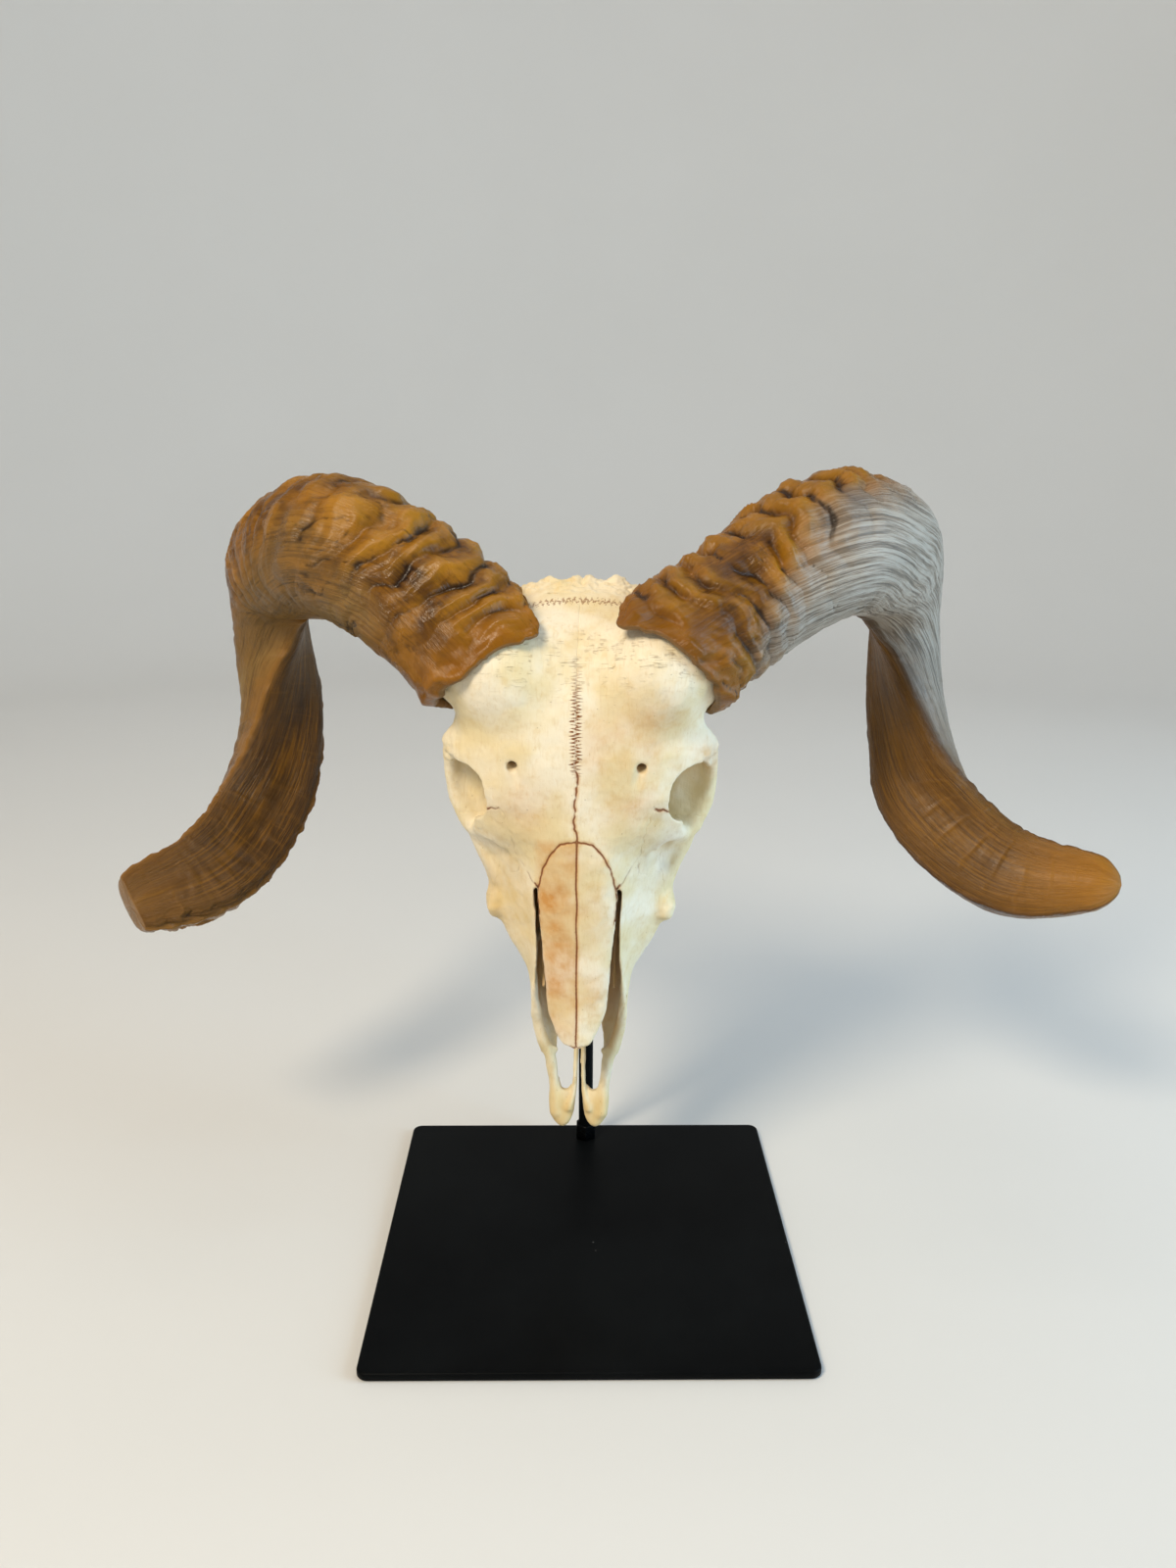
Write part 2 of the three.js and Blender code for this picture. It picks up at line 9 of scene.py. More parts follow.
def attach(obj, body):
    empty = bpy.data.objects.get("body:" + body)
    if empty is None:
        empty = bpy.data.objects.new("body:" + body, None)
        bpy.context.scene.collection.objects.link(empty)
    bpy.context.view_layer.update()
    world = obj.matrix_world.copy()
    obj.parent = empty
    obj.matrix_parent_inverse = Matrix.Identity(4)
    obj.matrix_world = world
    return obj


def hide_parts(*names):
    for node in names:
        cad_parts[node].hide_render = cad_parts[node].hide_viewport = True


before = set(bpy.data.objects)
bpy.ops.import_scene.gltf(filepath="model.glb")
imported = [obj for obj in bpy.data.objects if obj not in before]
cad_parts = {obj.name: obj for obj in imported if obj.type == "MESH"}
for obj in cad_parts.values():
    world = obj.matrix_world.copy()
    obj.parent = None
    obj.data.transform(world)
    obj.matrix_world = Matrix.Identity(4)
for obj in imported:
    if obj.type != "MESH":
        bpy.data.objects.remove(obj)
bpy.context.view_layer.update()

# ---- Sizes, in millimetres ----------------------------------------------------------------------
MM = 0.001
VOXEL = 0.8
TEETH_VOXEL = 0.6
HORN_CELL = 1.05
MARGIN = 4  # steps of the half grids below x = 0
SIDES = {"left": -1, "right": 1}
LAP = 0.7  # how far two bones run under each other at a suture
SUTURE_WIDTH, SUTURE_DEPTH = 0.5, 0.4
FAR = 20.0  # a distance that stands for everything clear of a shape
BELOW_LAST = 1.001  # keeps a place on a grid just short of its last step

TILT = math.radians(21.2)
TURN = math.radians(-3.3)
NOSE_Y, NOSE_Z = 12.0, 57.0
ROD_Y = 87.0
ROD_RADIUS = 4.0
ROD_TOP = 294.0
BASE_SIDE, BASE_THICK = 200.0, 4.0
NUT_CORNER = 6.0

FOCAL_PX, FRAME_HIGH_PX = 1232.2, 1600.0
CAMERA_AT = (-6.90, -532.37, 378.68)
CAMERA_PITCH = math.radians(14.902)
CAMERA_YAW = math.radians(0.691)
CAMERA_ROLL = math.radians(0.223)


# ---- Frames of reference ------------------------------------------------------------------------
def skull_to_world(p):
    """Skull millimetres (x, d, s) to world metres."""
    x, y, z = p[:, 0], -p[:, 1], p[:, 2]
    y, z = (y * math.cos(TILT) + z * math.sin(TILT), -y * math.sin(TILT) + z * math.cos(TILT))
    y, z = y + NOSE_Y - ROD_Y, z + NOSE_Z
    x, y = (x * math.cos(TURN) - y * math.sin(TURN), x * math.sin(TURN) + y * math.cos(TURN))
    return np.stack([x, y + ROD_Y, z], 1) * MM


def world_to_skull(p):
    """World millimetres to skull millimetres (x, d, s)."""
    x, y, z = p[:, 0], p[:, 1] - ROD_Y, p[:, 2]
    x, y = (x * math.cos(TURN) + y * math.sin(TURN), -x * math.sin(TURN) + y * math.cos(TURN))
    y, z = y - NOSE_Y + ROD_Y, z - NOSE_Z
    y, z = (y * math.cos(TILT) - z * math.sin(TILT), y * math.sin(TILT) + z * math.cos(TILT))
    return np.stack([x, -y, z], 1)


# ---- Noise and curves ---------------------------------------------------------------------------
def unit(value):
    """Held between 0 and 1."""
    return np.clip(value, 0, 1)


def hump(value, width):
    """A bell curve: 1 where the value is 0."""
    return np.exp(-(value / width) ** 2)


def wave(t):
    """Triangle wave from -1 to 1."""
    return 2 * np.abs(2 * (t - np.floor(t + 0.5))) - 1


def lattice(i, j, k, seed):
    """A fixed random value from -1 to 1 for each whole-numbered point."""
    n = (i * 73856093) ^ (j * 19349663) ^ (k * 83492791) ^ (seed * 2654435761)
    n = n & 0xFFFFFFFF
    for _ in range(2):
        n = ((n ^ (n >> 16)) * 0x45D9F3B) & 0xFFFFFFFF
    return ((n ^ (n >> 16)) & 0xFFFF) / 32767.5 - 1.0


def corners(f):
    """The eight corners of a cell, each with its trilinear weight at the fractions f."""
    for a in (0, 1):
        for b in (0, 1):
            for c in (0, 1):
                x, y, z = (f[:, k] if far else 1 - f[:, k] for k, far in enumerate((a, b, c)))
                yield a, b, c, x * y * z


def noise(p, seed):
    """Smooth value noise from -1 to 1 at N x 3 points, one lump to a unit."""
    base = np.floor(p).astype(np.int64)
    f = p - base
    total = np.zeros(len(p))
    for a, b, c, weight in corners(f * f * (3 - 2 * f)):
        total += weight * lattice(base[:, 0] + a, base[:, 1] + b, base[:, 2] + c, seed)
    return total


def fractal(p, octaves, seed):
    total = np.zeros(len(p))
    for i in range(octaves):
        total += noise(p * 2 ** i, seed + i) / 2 ** i
    return total


def catmull_rom(a, b, c, d, t):
    """The curve through four points, from b at t = 0 to c at t = 1."""
    return 0.5 * (2 * b + (c - a) * t + (2 * a - 5 * b + 4 * c - d) * t * t
                  + (3 * b - a - 3 * c + d) * t ** 3)


def smooth_through(knots, s):
    """Monotone cubic through (s, value) knots, held at the ends."""
    k = np.array(knots, float)
    x, y = k[:, 0], k[:, 1]
    slope = np.diff(y) / np.diff(x)
    bend = np.zeros(len(x))
    bend[0], bend[-1] = slope[0], slope[-1]
    a, b = slope[:-1], slope[1:]
    bend[1:-1] = np.where(a * b > 0, 2 * a * b / np.where(a + b == 0, 1, a + b), 0)
    s = np.clip(np.asarray(s, float), x[0], x[-1])
    i = np.clip(np.searchsorted(x, s, side="right") - 1, 0, len(x) - 2)
    w = x[i + 1] - x[i]
    t = (s - x[i]) / w
    return (y[i] * (1 + 2 * t) * (1 - t) ** 2 + y[i + 1] * t * t * (3 - 2 * t)
            + w * (bend[i] * t * (1 - t) ** 2 - bend[i + 1] * t * t * (1 - t)))


# ---- The head's lines: [s, x, d] from the snout to the nape -------------------------------------
LINES = {
    "roof_middle": [[40, 0, 43], [75, 0, 54], [110, 0, 70], [144, 0, 86], [175, 0, 100], [205, 0, 106.5],
                    [222, 0, 105], [246, 0, 88], [259, 0, 71], [268, 0, 44]],
    "roof_shoulder": [[40, 3, 42], [75, 9, 52.5], [110, 11, 68], [144, 16, 84], [175, 24, 98.5],
                      [205, 28, 105], [222, 26, 104], [246, 17, 86.5], [259, 14, 70], [268, 8, 43]],
    "roof_edge": [[40, 6, 40], [50, 11, 42], [75, 15, 49], [110, 18, 63], [130, 20, 72], [144, 30, 79],
                  [160, 36, 88], [180, 46, 90], [205, 45, 96], [222, 40, 95], [246, 28, 80], [259, 24, 65],
                  [268, 16, 41]],
    "brow_edge": [[40, 14, 27], [50, 18, 33], [75, 20.5, 40], [95, 22, 47], [110, 25, 53], [130, 30, 61],
                  [144, 44, 68], [160, 45, 79], [172, 56, 76], [184, 64, 71], [196, 53, 80], [222, 45, 82],
                  [246, 36, 68], [259, 33, 55], [268, 20, 37]],
    "temple_wall": [[40, 18, 19], [50, 21, 26], [75, 23, 32], [95, 28, 38], [110, 34, 42], [130, 37, 50],
                    [144, 49, 56], [152, 34, 62], [162, 22, 68], [184, 24, 66], [205, 34, 66], [222, 36, 66],
                    [246, 40, 54], [259, 38, 44], [268, 22, 32]],
    "cheek": [[40, 20, 13], [50, 22.5, 18], [75, 25, 22], [95, 36, 26], [110, 42.5, 31], [130, 42, 39],
              [144, 51, 42], [152, 40, 38], [162, 26, 35], [184, 24, 38], [205, 33, 42], [222, 37, 42],
              [246, 43, 37], [259, 41, 32], [268, 22, 27]],
    "gum": [[40, 17, 4], [50, 20, 5], [75, 24, 3], [95, 31, -3], [110, 35, -5], [144, 36, -4], [162, 33, 0],
            [175, 24, 6], [205, 22, 15], [222, 28, 18], [246, 36, 18], [259, 33, 18], [268, 18, 20]],
    "palate_edge": [[40, 9, 1], [75, 15, 1], [110, 23, -2], [144, 24, -2], [162, 23, 1], [175, 16, 5],
                    [205, 12, 10], [246, 16, 6], [259, 16, 8], [268, 10, 15]],
    "palate_middle": [[40, 0, 1], [75, 0, 3], [110, 0, 5], [150, 0, 7], [175, 0, 14], [205, 0, 12],
                      [246, 0, 7], [259, 0, 9], [268, 0, 15]],
}
HEAD_START, HEAD_END = 36.0, 268.0

# Half the nasal bones' outline from above, and of the opening round them: (s, x).
NASAL_EDGE = [[41, 0.6], [43, 6], [50, 10.3], [60, 13.8], [83, 16], [103, 17.8], [114, 18.6], [124, 15.6],
              [131, 11.6], [135.5, 7], [136.5, 0]]
OPENING_EDGE = [[20, 17.5], [44, 17.5], [66, 21], [88, 19.4], [100, 19.7], [115, 20.3], [118, 17]]


# ---- A field of distances over half of the skull ------------------------------------------------
class Field:
    """Signed distances, in millimetres, on a grid over x >= 0; negative is inside bone."""

    def __init__(self, low, high, step):
        self.step = step
        self.low = np.array(low, float)
        self.count = np.ceil((np.array(high) - self.low) / step).astype(int) + 1
        self.axes = [self.low[k] + step * np.arange(self.count[k]) for k in range(3)]
        self.v = np.full(self.count, FAR, np.float32)

    def window(self, low, high, pad=6.0):
        """The slices of the grid round a box, and the places of its points."""
        cut = []
        for k in range(3):
            a = int(np.clip(np.floor((low[k] - pad - self.low[k]) / self.step), 0, self.count[k] - 1))
            b = int(np.clip(np.ceil((high[k] + pad - self.low[k]) / self.step) + 1, a + 1, self.count[k]))
            cut.append(slice(a, b))
        grid = np.meshgrid(*[self.axes[k][cut[k]] for k in range(3)], indexing="ij", sparse=True)
        return tuple(cut), [g.astype(np.float32) for g in grid]

    def add(self, cut, shape, soft):
        """Joins a shape on, with a fillet as wide as soft."""
        a = self.v[cut]
        h = np.maximum(soft - np.abs(a - shape), 0) / soft
        self.v[cut] = np.minimum(a, shape) - h * h * soft / 4

    def remove(self, cut, shape, soft):
        a = self.v[cut]
        h = np.maximum(soft - np.abs(a + shape), 0) / soft
        self.v[cut] = np.maximum(a, -shape) + h * h * soft / 4


def ellipsoid(grid, at, radii, lean=None):
    """Distance to an ellipsoid; lean turns it by a 3 x 3 matrix whose rows are its own axes."""
    q = [grid[k] - at[k] for k in range(3)]
    if lean is not None:
        q = [sum(lean[r][k] * q[k] for k in range(3)) for r in range(3)]
    near = np.sqrt(sum((q[k] / radii[k]) ** 2 for k in range(3)))
    far = np.sqrt(sum((q[k] / radii[k] ** 2) ** 2 for k in range(3)))
    return near * (near - 1) / np.maximum(far, 1e-6)


def strut(grid, stations, stretch=(1, 1, 1)):
    """Distance to a bar through (x, d, s, radius) stations, its section drawn out by stretch."""
    best = None
    for a, b in zip(stations[:-1], stations[1:]):
        p = [(grid[k] - a[k]) / stretch[k] for k in range(3)]
        w = [(b[k] - a[k]) / stretch[k] for k in range(3)]
        along = unit(sum(p[k] * w[k] for k in range(3)) / max(sum(c * c for c in w), 1e-6))
        apart = np.sqrt(sum((p[k] - along * w[k]) ** 2 for k in range(3)))
        d = apart - (a[3] + (b[3] - a[3]) * along)
        best = d if best is None else np.minimum(best, d)
    return best


def curved(stations, pieces=4):
    """More stations on a smooth curve through the given ones."""
    p = np.array(stations, float)
    ends = np.vstack([2 * p[0] - p[1], p, 2 * p[-1] - p[-2]])
    made = []
    for i in range(len(p) - 1):
        for j in range(pieces):
            made.append(catmull_rom(*ends[i:i + 4], j / pieces))
    made.append(p[-1])
    return [list(m) for m in made]


def add_strut(field, stations, soft, stretch=(1, 1, 1), remove=False):
    p = np.array(stations)
    reach = p[:, 3].max() * max(stretch)
    cut, grid = field.window(p[:, :3].min(0) - reach, p[:, :3].max(0) + reach)
    shape = strut(grid, stations, stretch)
    (field.remove if remove else field.add)(cut, shape, soft)


def add_ball(field, at, radii, soft, lean=None, remove=False):
    reach = np.array(radii) if lean is None else np.full(3, max(radii))
    cut, grid = field.window(np.array(at) - reach, np.array(at) + reach)
    shape = ellipsoid(grid, at, radii, lean)
    (field.remove if remove else field.add)(cut, shape, soft)


def line_at(name, s):
    """The x and d of one of the head's lines at s."""
    return [float(smooth_through([[k[0], k[c]] for k in LINES[name]], s)) for c in (1, 2)]


def section(s):
    """The head's closed outline across s, as smooth (x, d) points round both halves."""
    half = [line_at(name, s) for name in LINES]
    ring = np.array(half + [[-x, d] for x, d in half[-2:0:-1]], float)
    t = np.arange(0, 1, 1 / 6)[None, :, None]
    a, b, c, d = (np.roll(ring, -k, 0)[:, None] for k in (-1, 0, 1, 2))
    straight = b + (c - b) * t
    return (0.8 * catmull_rom(a, b, c, d, t) + 0.2 * straight).reshape(-1, 2)


def outline_distance(points, px, pd):
    """Signed distance in the plane to a closed outline, negative inside."""
    shape = np.broadcast(px, pd).shape
    best = np.full(shape, 1e9)
    inside = np.zeros(shape, bool)
    for (ax, ad), (bx, bd) in zip(points, np.roll(points, -1, 0)):
        wx, wd = bx - ax, bd - ad
        t = unit(((px - ax) * wx + (pd - ad) * wd) / max(wx * wx + wd * wd, 1e-9))
        best = np.minimum(best, (px - ax - t * wx) ** 2 + (pd - ad - t * wd) ** 2)
        if abs(wd) > 1e-9:
            inside ^= ((ad > pd) != (bd > pd)) & (px < ax + wx * (pd - ad) / wd)
    return np.sqrt(best) * np.where(inside, -1, 1)


def head_field():
    """The head without its openings, lofted through its sections."""
    field = Field((-MARGIN * VOXEL, -26, -5), (74, 122, 284), VOXEL)
    x, d, s = field.axes
    spacing = 3.0
    stops = np.arange(HEAD_START, HEAD_END + spacing, spacing)
    sheets = np.stack([outline_distance(section(stop), x[:, None], d[None, :]) for stop in stops])
    place = np.clip((s - HEAD_START) / spacing, 0, len(stops) - BELOW_LAST)
    i = place.astype(int)
    w = (place - i)[:, None, None]
    body = sheets[i] * (1 - w) + sheets[i + 1] * w
    body = np.maximum(body, np.maximum(HEAD_START - s, s - HEAD_END)[:, None, None])
    field.v = np.ascontiguousarray(body.transpose(1, 2, 0)).astype(np.float32)
    return field


# ---- Features of the skull ----------------------------------------------------------------------
def hollow_snout(field):
    """The nasal cavity: the air inside an even wall, above a bony floor."""
    wall, end = 2.3, 148.0
    x, d, s = [a.astype(np.float32) for a in field.axes]
    width = smooth_through([[30, 17], [44, 18.3], [75, 21], [110, 22], [130, 21], [148, 12]], s)
    room = np.maximum(field.v + wall, (x[:, None, None] - width[None, None, :]).astype(np.float32))
    floor = smooth_through([[34, 3.0], [50, 5.0], [90, 7.0]], s)
    room = np.maximum(room, (floor[None, :] - d[:, None])[None].astype(np.float32))
    room = np.maximum(room, (s - end)[None, None, :])
    field.remove((slice(None),) * 3, room, 1.5)


def slit_and_nasals(field):
    """Opens the slit beside each nasal bone, and the nose in front."""
    slit_end, slit_floor, nasal_tip, front_end = 117.5, 26.0, 41.2, 84.0
    x, d, s = field.axes
    inner = smooth_through(NASAL_EDGE, s)
    outer = smooth_through(OPENING_EDGE, s)
    slit = np.maximum(inner[None, :] - x[:, None], x[:, None] - outer[None, :])
    slit = np.maximum(slit, np.where(s < slit_end, -FAR, FAR)[None, :])
    slit = np.maximum(slit[:, None, :], (slit_floor - d)[None, :, None])
    # in front the side walls fall away from the nasal bones to the snout's tip
    brink = smooth_through([[28, 4.5], [38, 11], [50, 18.5], [62, 28], [74, 37], [86, 46]], s)
    ahead = np.where(s < nasal_tip, -10.0, inner)  # nothing is left in front of the nasal bones' tips
    front = np.maximum(ahead[None, :] - x[:, None], (s - front_end)[None, :])[:, None, :]
    front = np.maximum(front, (brink[None, :] - d[:, None])[None])
    field.remove((slice(None),) * 3, np.minimum(slit, front).astype(np.float32), 0.8)


def orbits_and_arch(field):
    """The eye's socket with its ring of bone, the bar behind it and the arch below it."""
    lean = np.array([[0.93, 0.12, -0.34], [-0.12, 0.99, 0.02], [0.34, 0.02, 0.94]])
    rim = [[60.5, 68, 179, 3.2], [61, 60, 172, 3.4], [58, 52, 158, 3.6], [50.5, 49, 146, 3.6],
           [46.0, 59, 145, 3.2], [45.3, 71, 152, 3.0], [46.0, 78, 163, 3.0], [52.5, 75, 170, 3.4]]
    arch = [[41, 34, 122, 3.4], [51, 40, 145, 4.4], [58, 43, 164, 4.2], [60, 42, 180, 3.6],
            [56, 36, 198, 2.8], [46, 31, 212, 2.8], [34, 30, 222, 3.4]]
    add_ball(field, (52, 63.5, 165), (26, 16.8, 18.5), 3.0, lean, remove=True)
    add_strut(field, curved(rim + rim[:1], 3), 4.0)
    add_strut(field, curved(arch), 4.0, (0.95, 1.9, 1.0))
    bar = [[61, 68, 181, 2.6], [61, 58, 183, 2.8], [60.5, 46, 181, 3.0]]
    add_strut(field, curved(bar), 3.0, (0.8, 1, 1.6))
    floor = [[45.5, 48.0, 148, 4.2], [50, 50.5, 160, 4.8], [52, 53.0, 170, 4.6], [55.5, 57.5, 178, 3.6]]
    add_strut(field, curved(floor), 4.0, (2.3, 1, 1))
    add_ball(field, (49.5, 70.5, 162.5), (15, 14.6, 14.8), 1.4, lean, remove=True)


def face_relief(field):
    """The cheek's bump and ridge, the pit in front of the eye and the small holes of the face."""
    add_ball(field, (41.6, 32, 110), (4.4, 6.5, 7.5), 4.0)
    add_strut(field, curved([[41, 31, 112, 2.4], [43, 33.5, 126, 2.4], [50, 35, 142, 2.6]]), 4.0)
    add_ball(field, (41.5, 59.5, 130.5), (8.8, 9.0, 9.5), 1.6, remove=True)
    add_strut(field, curved([[36, 62, 136, 1.2], [40, 62, 140.5, 2.0], [45, 59, 143.5, 2.6]]), 3.0)
    # the hole above each eye with the groove that runs forward from it
    add_strut(field, [[28.8, 92, 169.4, 2.15], [28.4, 84, 178, 1.7]], 0.5, remove=True)
    groove = [[28.8, 95.0, 168.5, 2.5], [28.0, 93.6, 162, 2.5], [27.2, 92.4, 155, 1.7]]
    add_strut(field, curved(groove), 1.6, remove=True)
    # the hole in the side of the snout
    add_strut(field, [[34, 18, 84, 2.4], [24, 17, 94, 2.2]], 1.2, remove=True)
    # lacrimal holes in the front rim of the orbit
    add_strut(field, [[50, 66, 154, 1.4], [40, 64, 146, 1.2]], 0.8, remove=True)


def skull_base(field):
    """The plates and hooks behind the palate, the ear capsules and the braincase's side walls."""
    plate = [[17, 3, 158, 2.2], [13, -2, 176, 1.8], [11.5, 1, 192, 1.6], [12, 6, 208, 2]]
    add_strut(field, curved(plate), 3.0, (1, 3.4, 1))
    add_strut(field, [[12, -5, 186, 1.3], [13.5, -9.5, 190, 0.9]], 2.0)
    add_ball(field, (0, 15, 176), (9.5, 9, 17), 3.0, remove=True)
    add_ball(field, (23.5, 3.5, 232), (7.6, 8.6, 12.5), 3.0)
    add_strut(field, [[29, 18, 240, 5.4], [43.5, 27, 242, 4.6]], 3.0)
    add_strut(field, [[48, 29, 242.5, 2.6], [36, 22, 240, 2.2]], 0.8, remove=True)
    add_ball(field, (30, 21, 215), (9, 3.6, 6), 3.0)
    add_ball(field, (15, 10, 214), (2.6, 5, 3.4), 1.2, remove=True)
    add_ball(field, (20, 12, 246), (3.0, 4.5, 3.0), 1.2, remove=True)
    add_ball(field, (7, 5, 236), (4.2, 2.6, 5), 3.0)
    # side wall of the braincase, hollowed behind the eye and below the brow
    add_ball(field, (58, 66, 203), (21, 13, 17), 5.0, remove=True)


def occiput(field):
    """The nape: its crest and bumps, the condyles and the great hole between them."""
    crest = [[0, 66, 258.5, 3.2], [19, 67.5, 256, 3.2], [34, 50, 253, 3.4], [41, 30, 251, 3.8]]
    add_strut(field, curved(crest), 5.0)
    add_ball(field, (15.5, 66, 259.5), (5.5, 4.2, 4.0), 2.5)
    add_ball(field, (3.2, 68.5, 260), (3.0, 3.4, 3.6), 2.0)
    add_ball(field, (25, 60, 257.5), (5, 5, 3.5), 2.5)
    add_ball(field, (14.5, 17, 266.5), (8.8, 12.5, 8.5), 3.0)
    add_ball(field, (6.2, 8, 263), (4, 4, 7), 3.0)
    process = [[32, 22, 252, 5.6], [31.5, 6, 256, 4.6], [28.5, -9, 255.5, 2.6]]
    add_strut(field, curved(process), 3.0, (0.9, 1, 1.5))
    add_ball(field, (0, 25, 272), (9.6, 9.2, 22), 2.0, remove=True)
    add_strut(field, [[0, 60, 262, 1.6], [0, 44, 266, 1.4]], 3.0)
    add_ball(field, (19, 50, 268), (13, 11, 5), 4.0, remove=True)


def premaxillae(field):
    """The snout's front: a broad tip, a bar up each side and the long holes of the palate."""
    add_strut(field, [[0, 4, 30, 5.0], [0, 5, 40.5, 5.0]], 0.8, (2.0, 1.6, 1), remove=True)
    add_ball(field, (8.3, 2.3, 11.0), (6.2, 3.3, 12.2), 1.5)
    outer = [[11.6, 2.6, 6, 2.8], [12.6, 4, 20, 2.8], [14.4, 8, 33, 3.0], [17.8, 13, 42, 2.7],
             [20.3, 18, 52, 2.2], [21.4, 25, 62, 1.7], [21.4, 31, 70, 1.1]]
    add_strut(field, curved(outer), 2.5, (0.95, 1.35, 1))
    inner = [[5.2, 2.8, 8, 2.4], [2.5, 4.2, 17, 1.45], [1.9, 5.6, 34, 1.3], [1.8, 6.4, 56, 1.3]]
    add_strut(field, curved(inner), 1.2, (0.9, 1.7, 1))
    hole = [[7.1, 3, 19, 2.4], [7.4, 3, 27, 3.4], [7.8, 3, 35, 3.7], [8.2, 4, 42, 3.4], [8.2, 5, 50, 2.4]]
    add_strut(field, curved(hole), 1.0, (1.05, 2.4, 1), remove=True)


def nose_inside(field):
    """The vomer in the middle and the turbinates beside it."""
    vomer = [[0, 8, 50, 0.9], [0, 10, 90, 1.0], [0, 16, 146, 1.2]]
    lower = [[9.5, 22, 62, 1.6], [10, 26, 84, 3.2], [10, 32, 110, 4.2], [9, 38, 142, 4.6]]
    upper = [[7.5, 40, 84, 1.2], [8, 50, 108, 2.4], [8, 58, 136, 3.4]]
    for stations, stretch in ((vomer, (0.9, 7, 1)), (lower, (1.1, 2.0, 1)), (upper, (1.1, 1.5, 1))):
        add_strut(field, curved(stations), 1.5, stretch)
    add_strut(field, [[17, 30, 70, 1.0], [18.5, 34, 140, 2.4]], 1.5, (0.8, 1, 1))


# Horn centre lines in world millimetres, with half the breadth, the height over the flat side and the
# section's roll about the line in degrees.
HORN_STATIONS = {
    "left": [
        ((-43, 11, 292), 33, 31, 0), ((-81, 28, 321), 32, 30, 14), ((-115, 47, 338), 33, 32, 48),
        ((-142, 77, 334), 31, 30, 86), ((-160, 104, 320), 26.5, 26, 106), ((-165, 116, 287), 22, 23, 90),
        ((-165, 110, 242), 21.5, 20.5, 52), ((-174, 90, 201), 23, 21, 42), ((-193, 60, 175), 22, 21, 62),
        ((-226, 33, 166), 15.5, 15.5, 80)],
    "right": [
        ((33, 6, 293), 32, 30.5, -4), ((73, 30, 318), 31, 30, 24), ((112, 49, 339.3), 34, 33, 56),
        ((140, 76, 338), 33, 31.5, 92), ((158, 104, 323), 27, 27, 106), ((167, 117, 294), 22, 22.5, 92),
        ((173, 110, 247), 21.5, 20, 64), ((185, 89, 201), 23.5, 22, 48), ((217, 61, 174), 22, 21, 62),
        ((265, 31, 177), 11.5, 11.5, 90)],
}
CURL_AXIS_Y, CURL_AXIS_Z = 72.0, 258.0
SLANT, FORWARD, REACH = 7.0, 7.0, 40.0  # the open end leans towards the head on its upper edge and in front


def horn_stems(field):
    """The bone that carries each horn, flaring out of the brow to the horn's open end."""
    first, second = (np.array(HORN_STATIONS["right"][k][0], float) for k in (0, 1))
    start = second - first
    lift = np.cross(start, np.cross([0, first[1] - CURL_AXIS_Y, first[2] - CURL_AXIS_Z], start))
    edge = np.cross(start, lift)  # towards the far edge of the open end
    marks = world_to_skull(np.array([first, second, first + lift / 1e4, first + edge / 1e4]))
    out, front, far = (v / np.linalg.norm(v) for v in marks[1:] - marks[0])
    first = marks[0] + far * 3.0
    inner = first + np.array([-22.0, -7.0, -3.0]) - far * 3.0
    mouth = first + out * 4.0
    stations = [[*inner, 21], [*(first - out * 6), 25.5], [*(mouth + out * 7), 26.0]]
    p, reach = np.array(stations)[:, :3], 28
    cut, grid = field.window(p.min(0) - reach, p.max(0) + reach)
    lean = out - far * (SLANT / 32) + front * (FORWARD / 31)
    past = sum((grid[k] - mouth[k]) * lean[k] for k in range(3))
    field.add(cut, np.maximum(strut(grid, stations), past), 10.0)


def rod_socket(field):
    """The blind hole under the braincase that the rod stands in."""
    ends = world_to_skull(np.array([[0.0, ROD_Y, z] for z in (200.0, ROD_TOP)]))
    add_strut(field, [[0, d, s, ROD_RADIUS + 0.35] for _, d, s in ends], 0.6, remove=True)


# ---- Bones: the field parted along the sutures --------------------------------------------------
SUTURES = {  # each bone's outline on the plan, as (x, s), and its lowest and highest d
    "premaxilla": ([[-40, -20], [80, -20], [80, 64], [24, 66], [19, 52], [15, 45], [-40, 44]], -40, 60),
    "frontal": ([[-40, 110], [17.5, 116], [25.7, 123], [29, 136], [34, 151.5], [90, 151.5], [90, 246],
                 [-40, 246]], 64, 200),
    "lacrimal": ([[29.0, 136], [34.0, 151.5], [66, 151.5], [60, 141], [50, 134], [41, 126], [32, 123],
                  [27.5, 124]], 52, 110),
    "zygomatic": ([[42, 113], [80, 113], [80, 194], [52, 194], [37, 156], [38, 128]], 20, 64),
    "maxilla": ([[-40, 30], [70, 30], [70, 156], [-40, 156]], -40, 100),
}
LAMBDOID_S, NUCHAL_S = 243.5, 251.5


def behind(s):
    """The outline on the plan of all that lies behind s."""
    return [[-90, s], [90, s], [90, 300], [-90, 300]]


def plan_distance(outline, x, s, jag, seed):
    """Distance on the plan to an outline with interlocking, wavy edges."""
    gx, gs = np.meshgrid(x, s, indexing="ij")
    flat = np.stack([gx.ravel(), gs.ravel(), np.zeros(gx.size)], 1)
    wander = [noise(flat / 9.0, seed + k).reshape(gx.shape) for k in (0, 5)]
    wx = gx + jag * (wave(gs / 4.3) * 0.8 + wander[0])
    ws = gs + jag * (wave(gx / 3.9) * 0.8 + wander[1])
    return outline_distance(np.array(outline, float), wx, ws)


def middle_line(s, seed):
    """Where the middle suture lies in x, wandering most in front of the brow."""
    flat = np.stack([s / 3.0, s * 0, s * 0], 1)
    ahead = unit((178 - s) / 8) * unit((s - 134) / 4)
    wander = 0.8 * noise(flat * 0.8, seed + 4) + 0.4 * noise(flat * 2.2, seed + 5)
    return wander * ahead + 0.3 * noise(flat / 3.0, seed + 2)


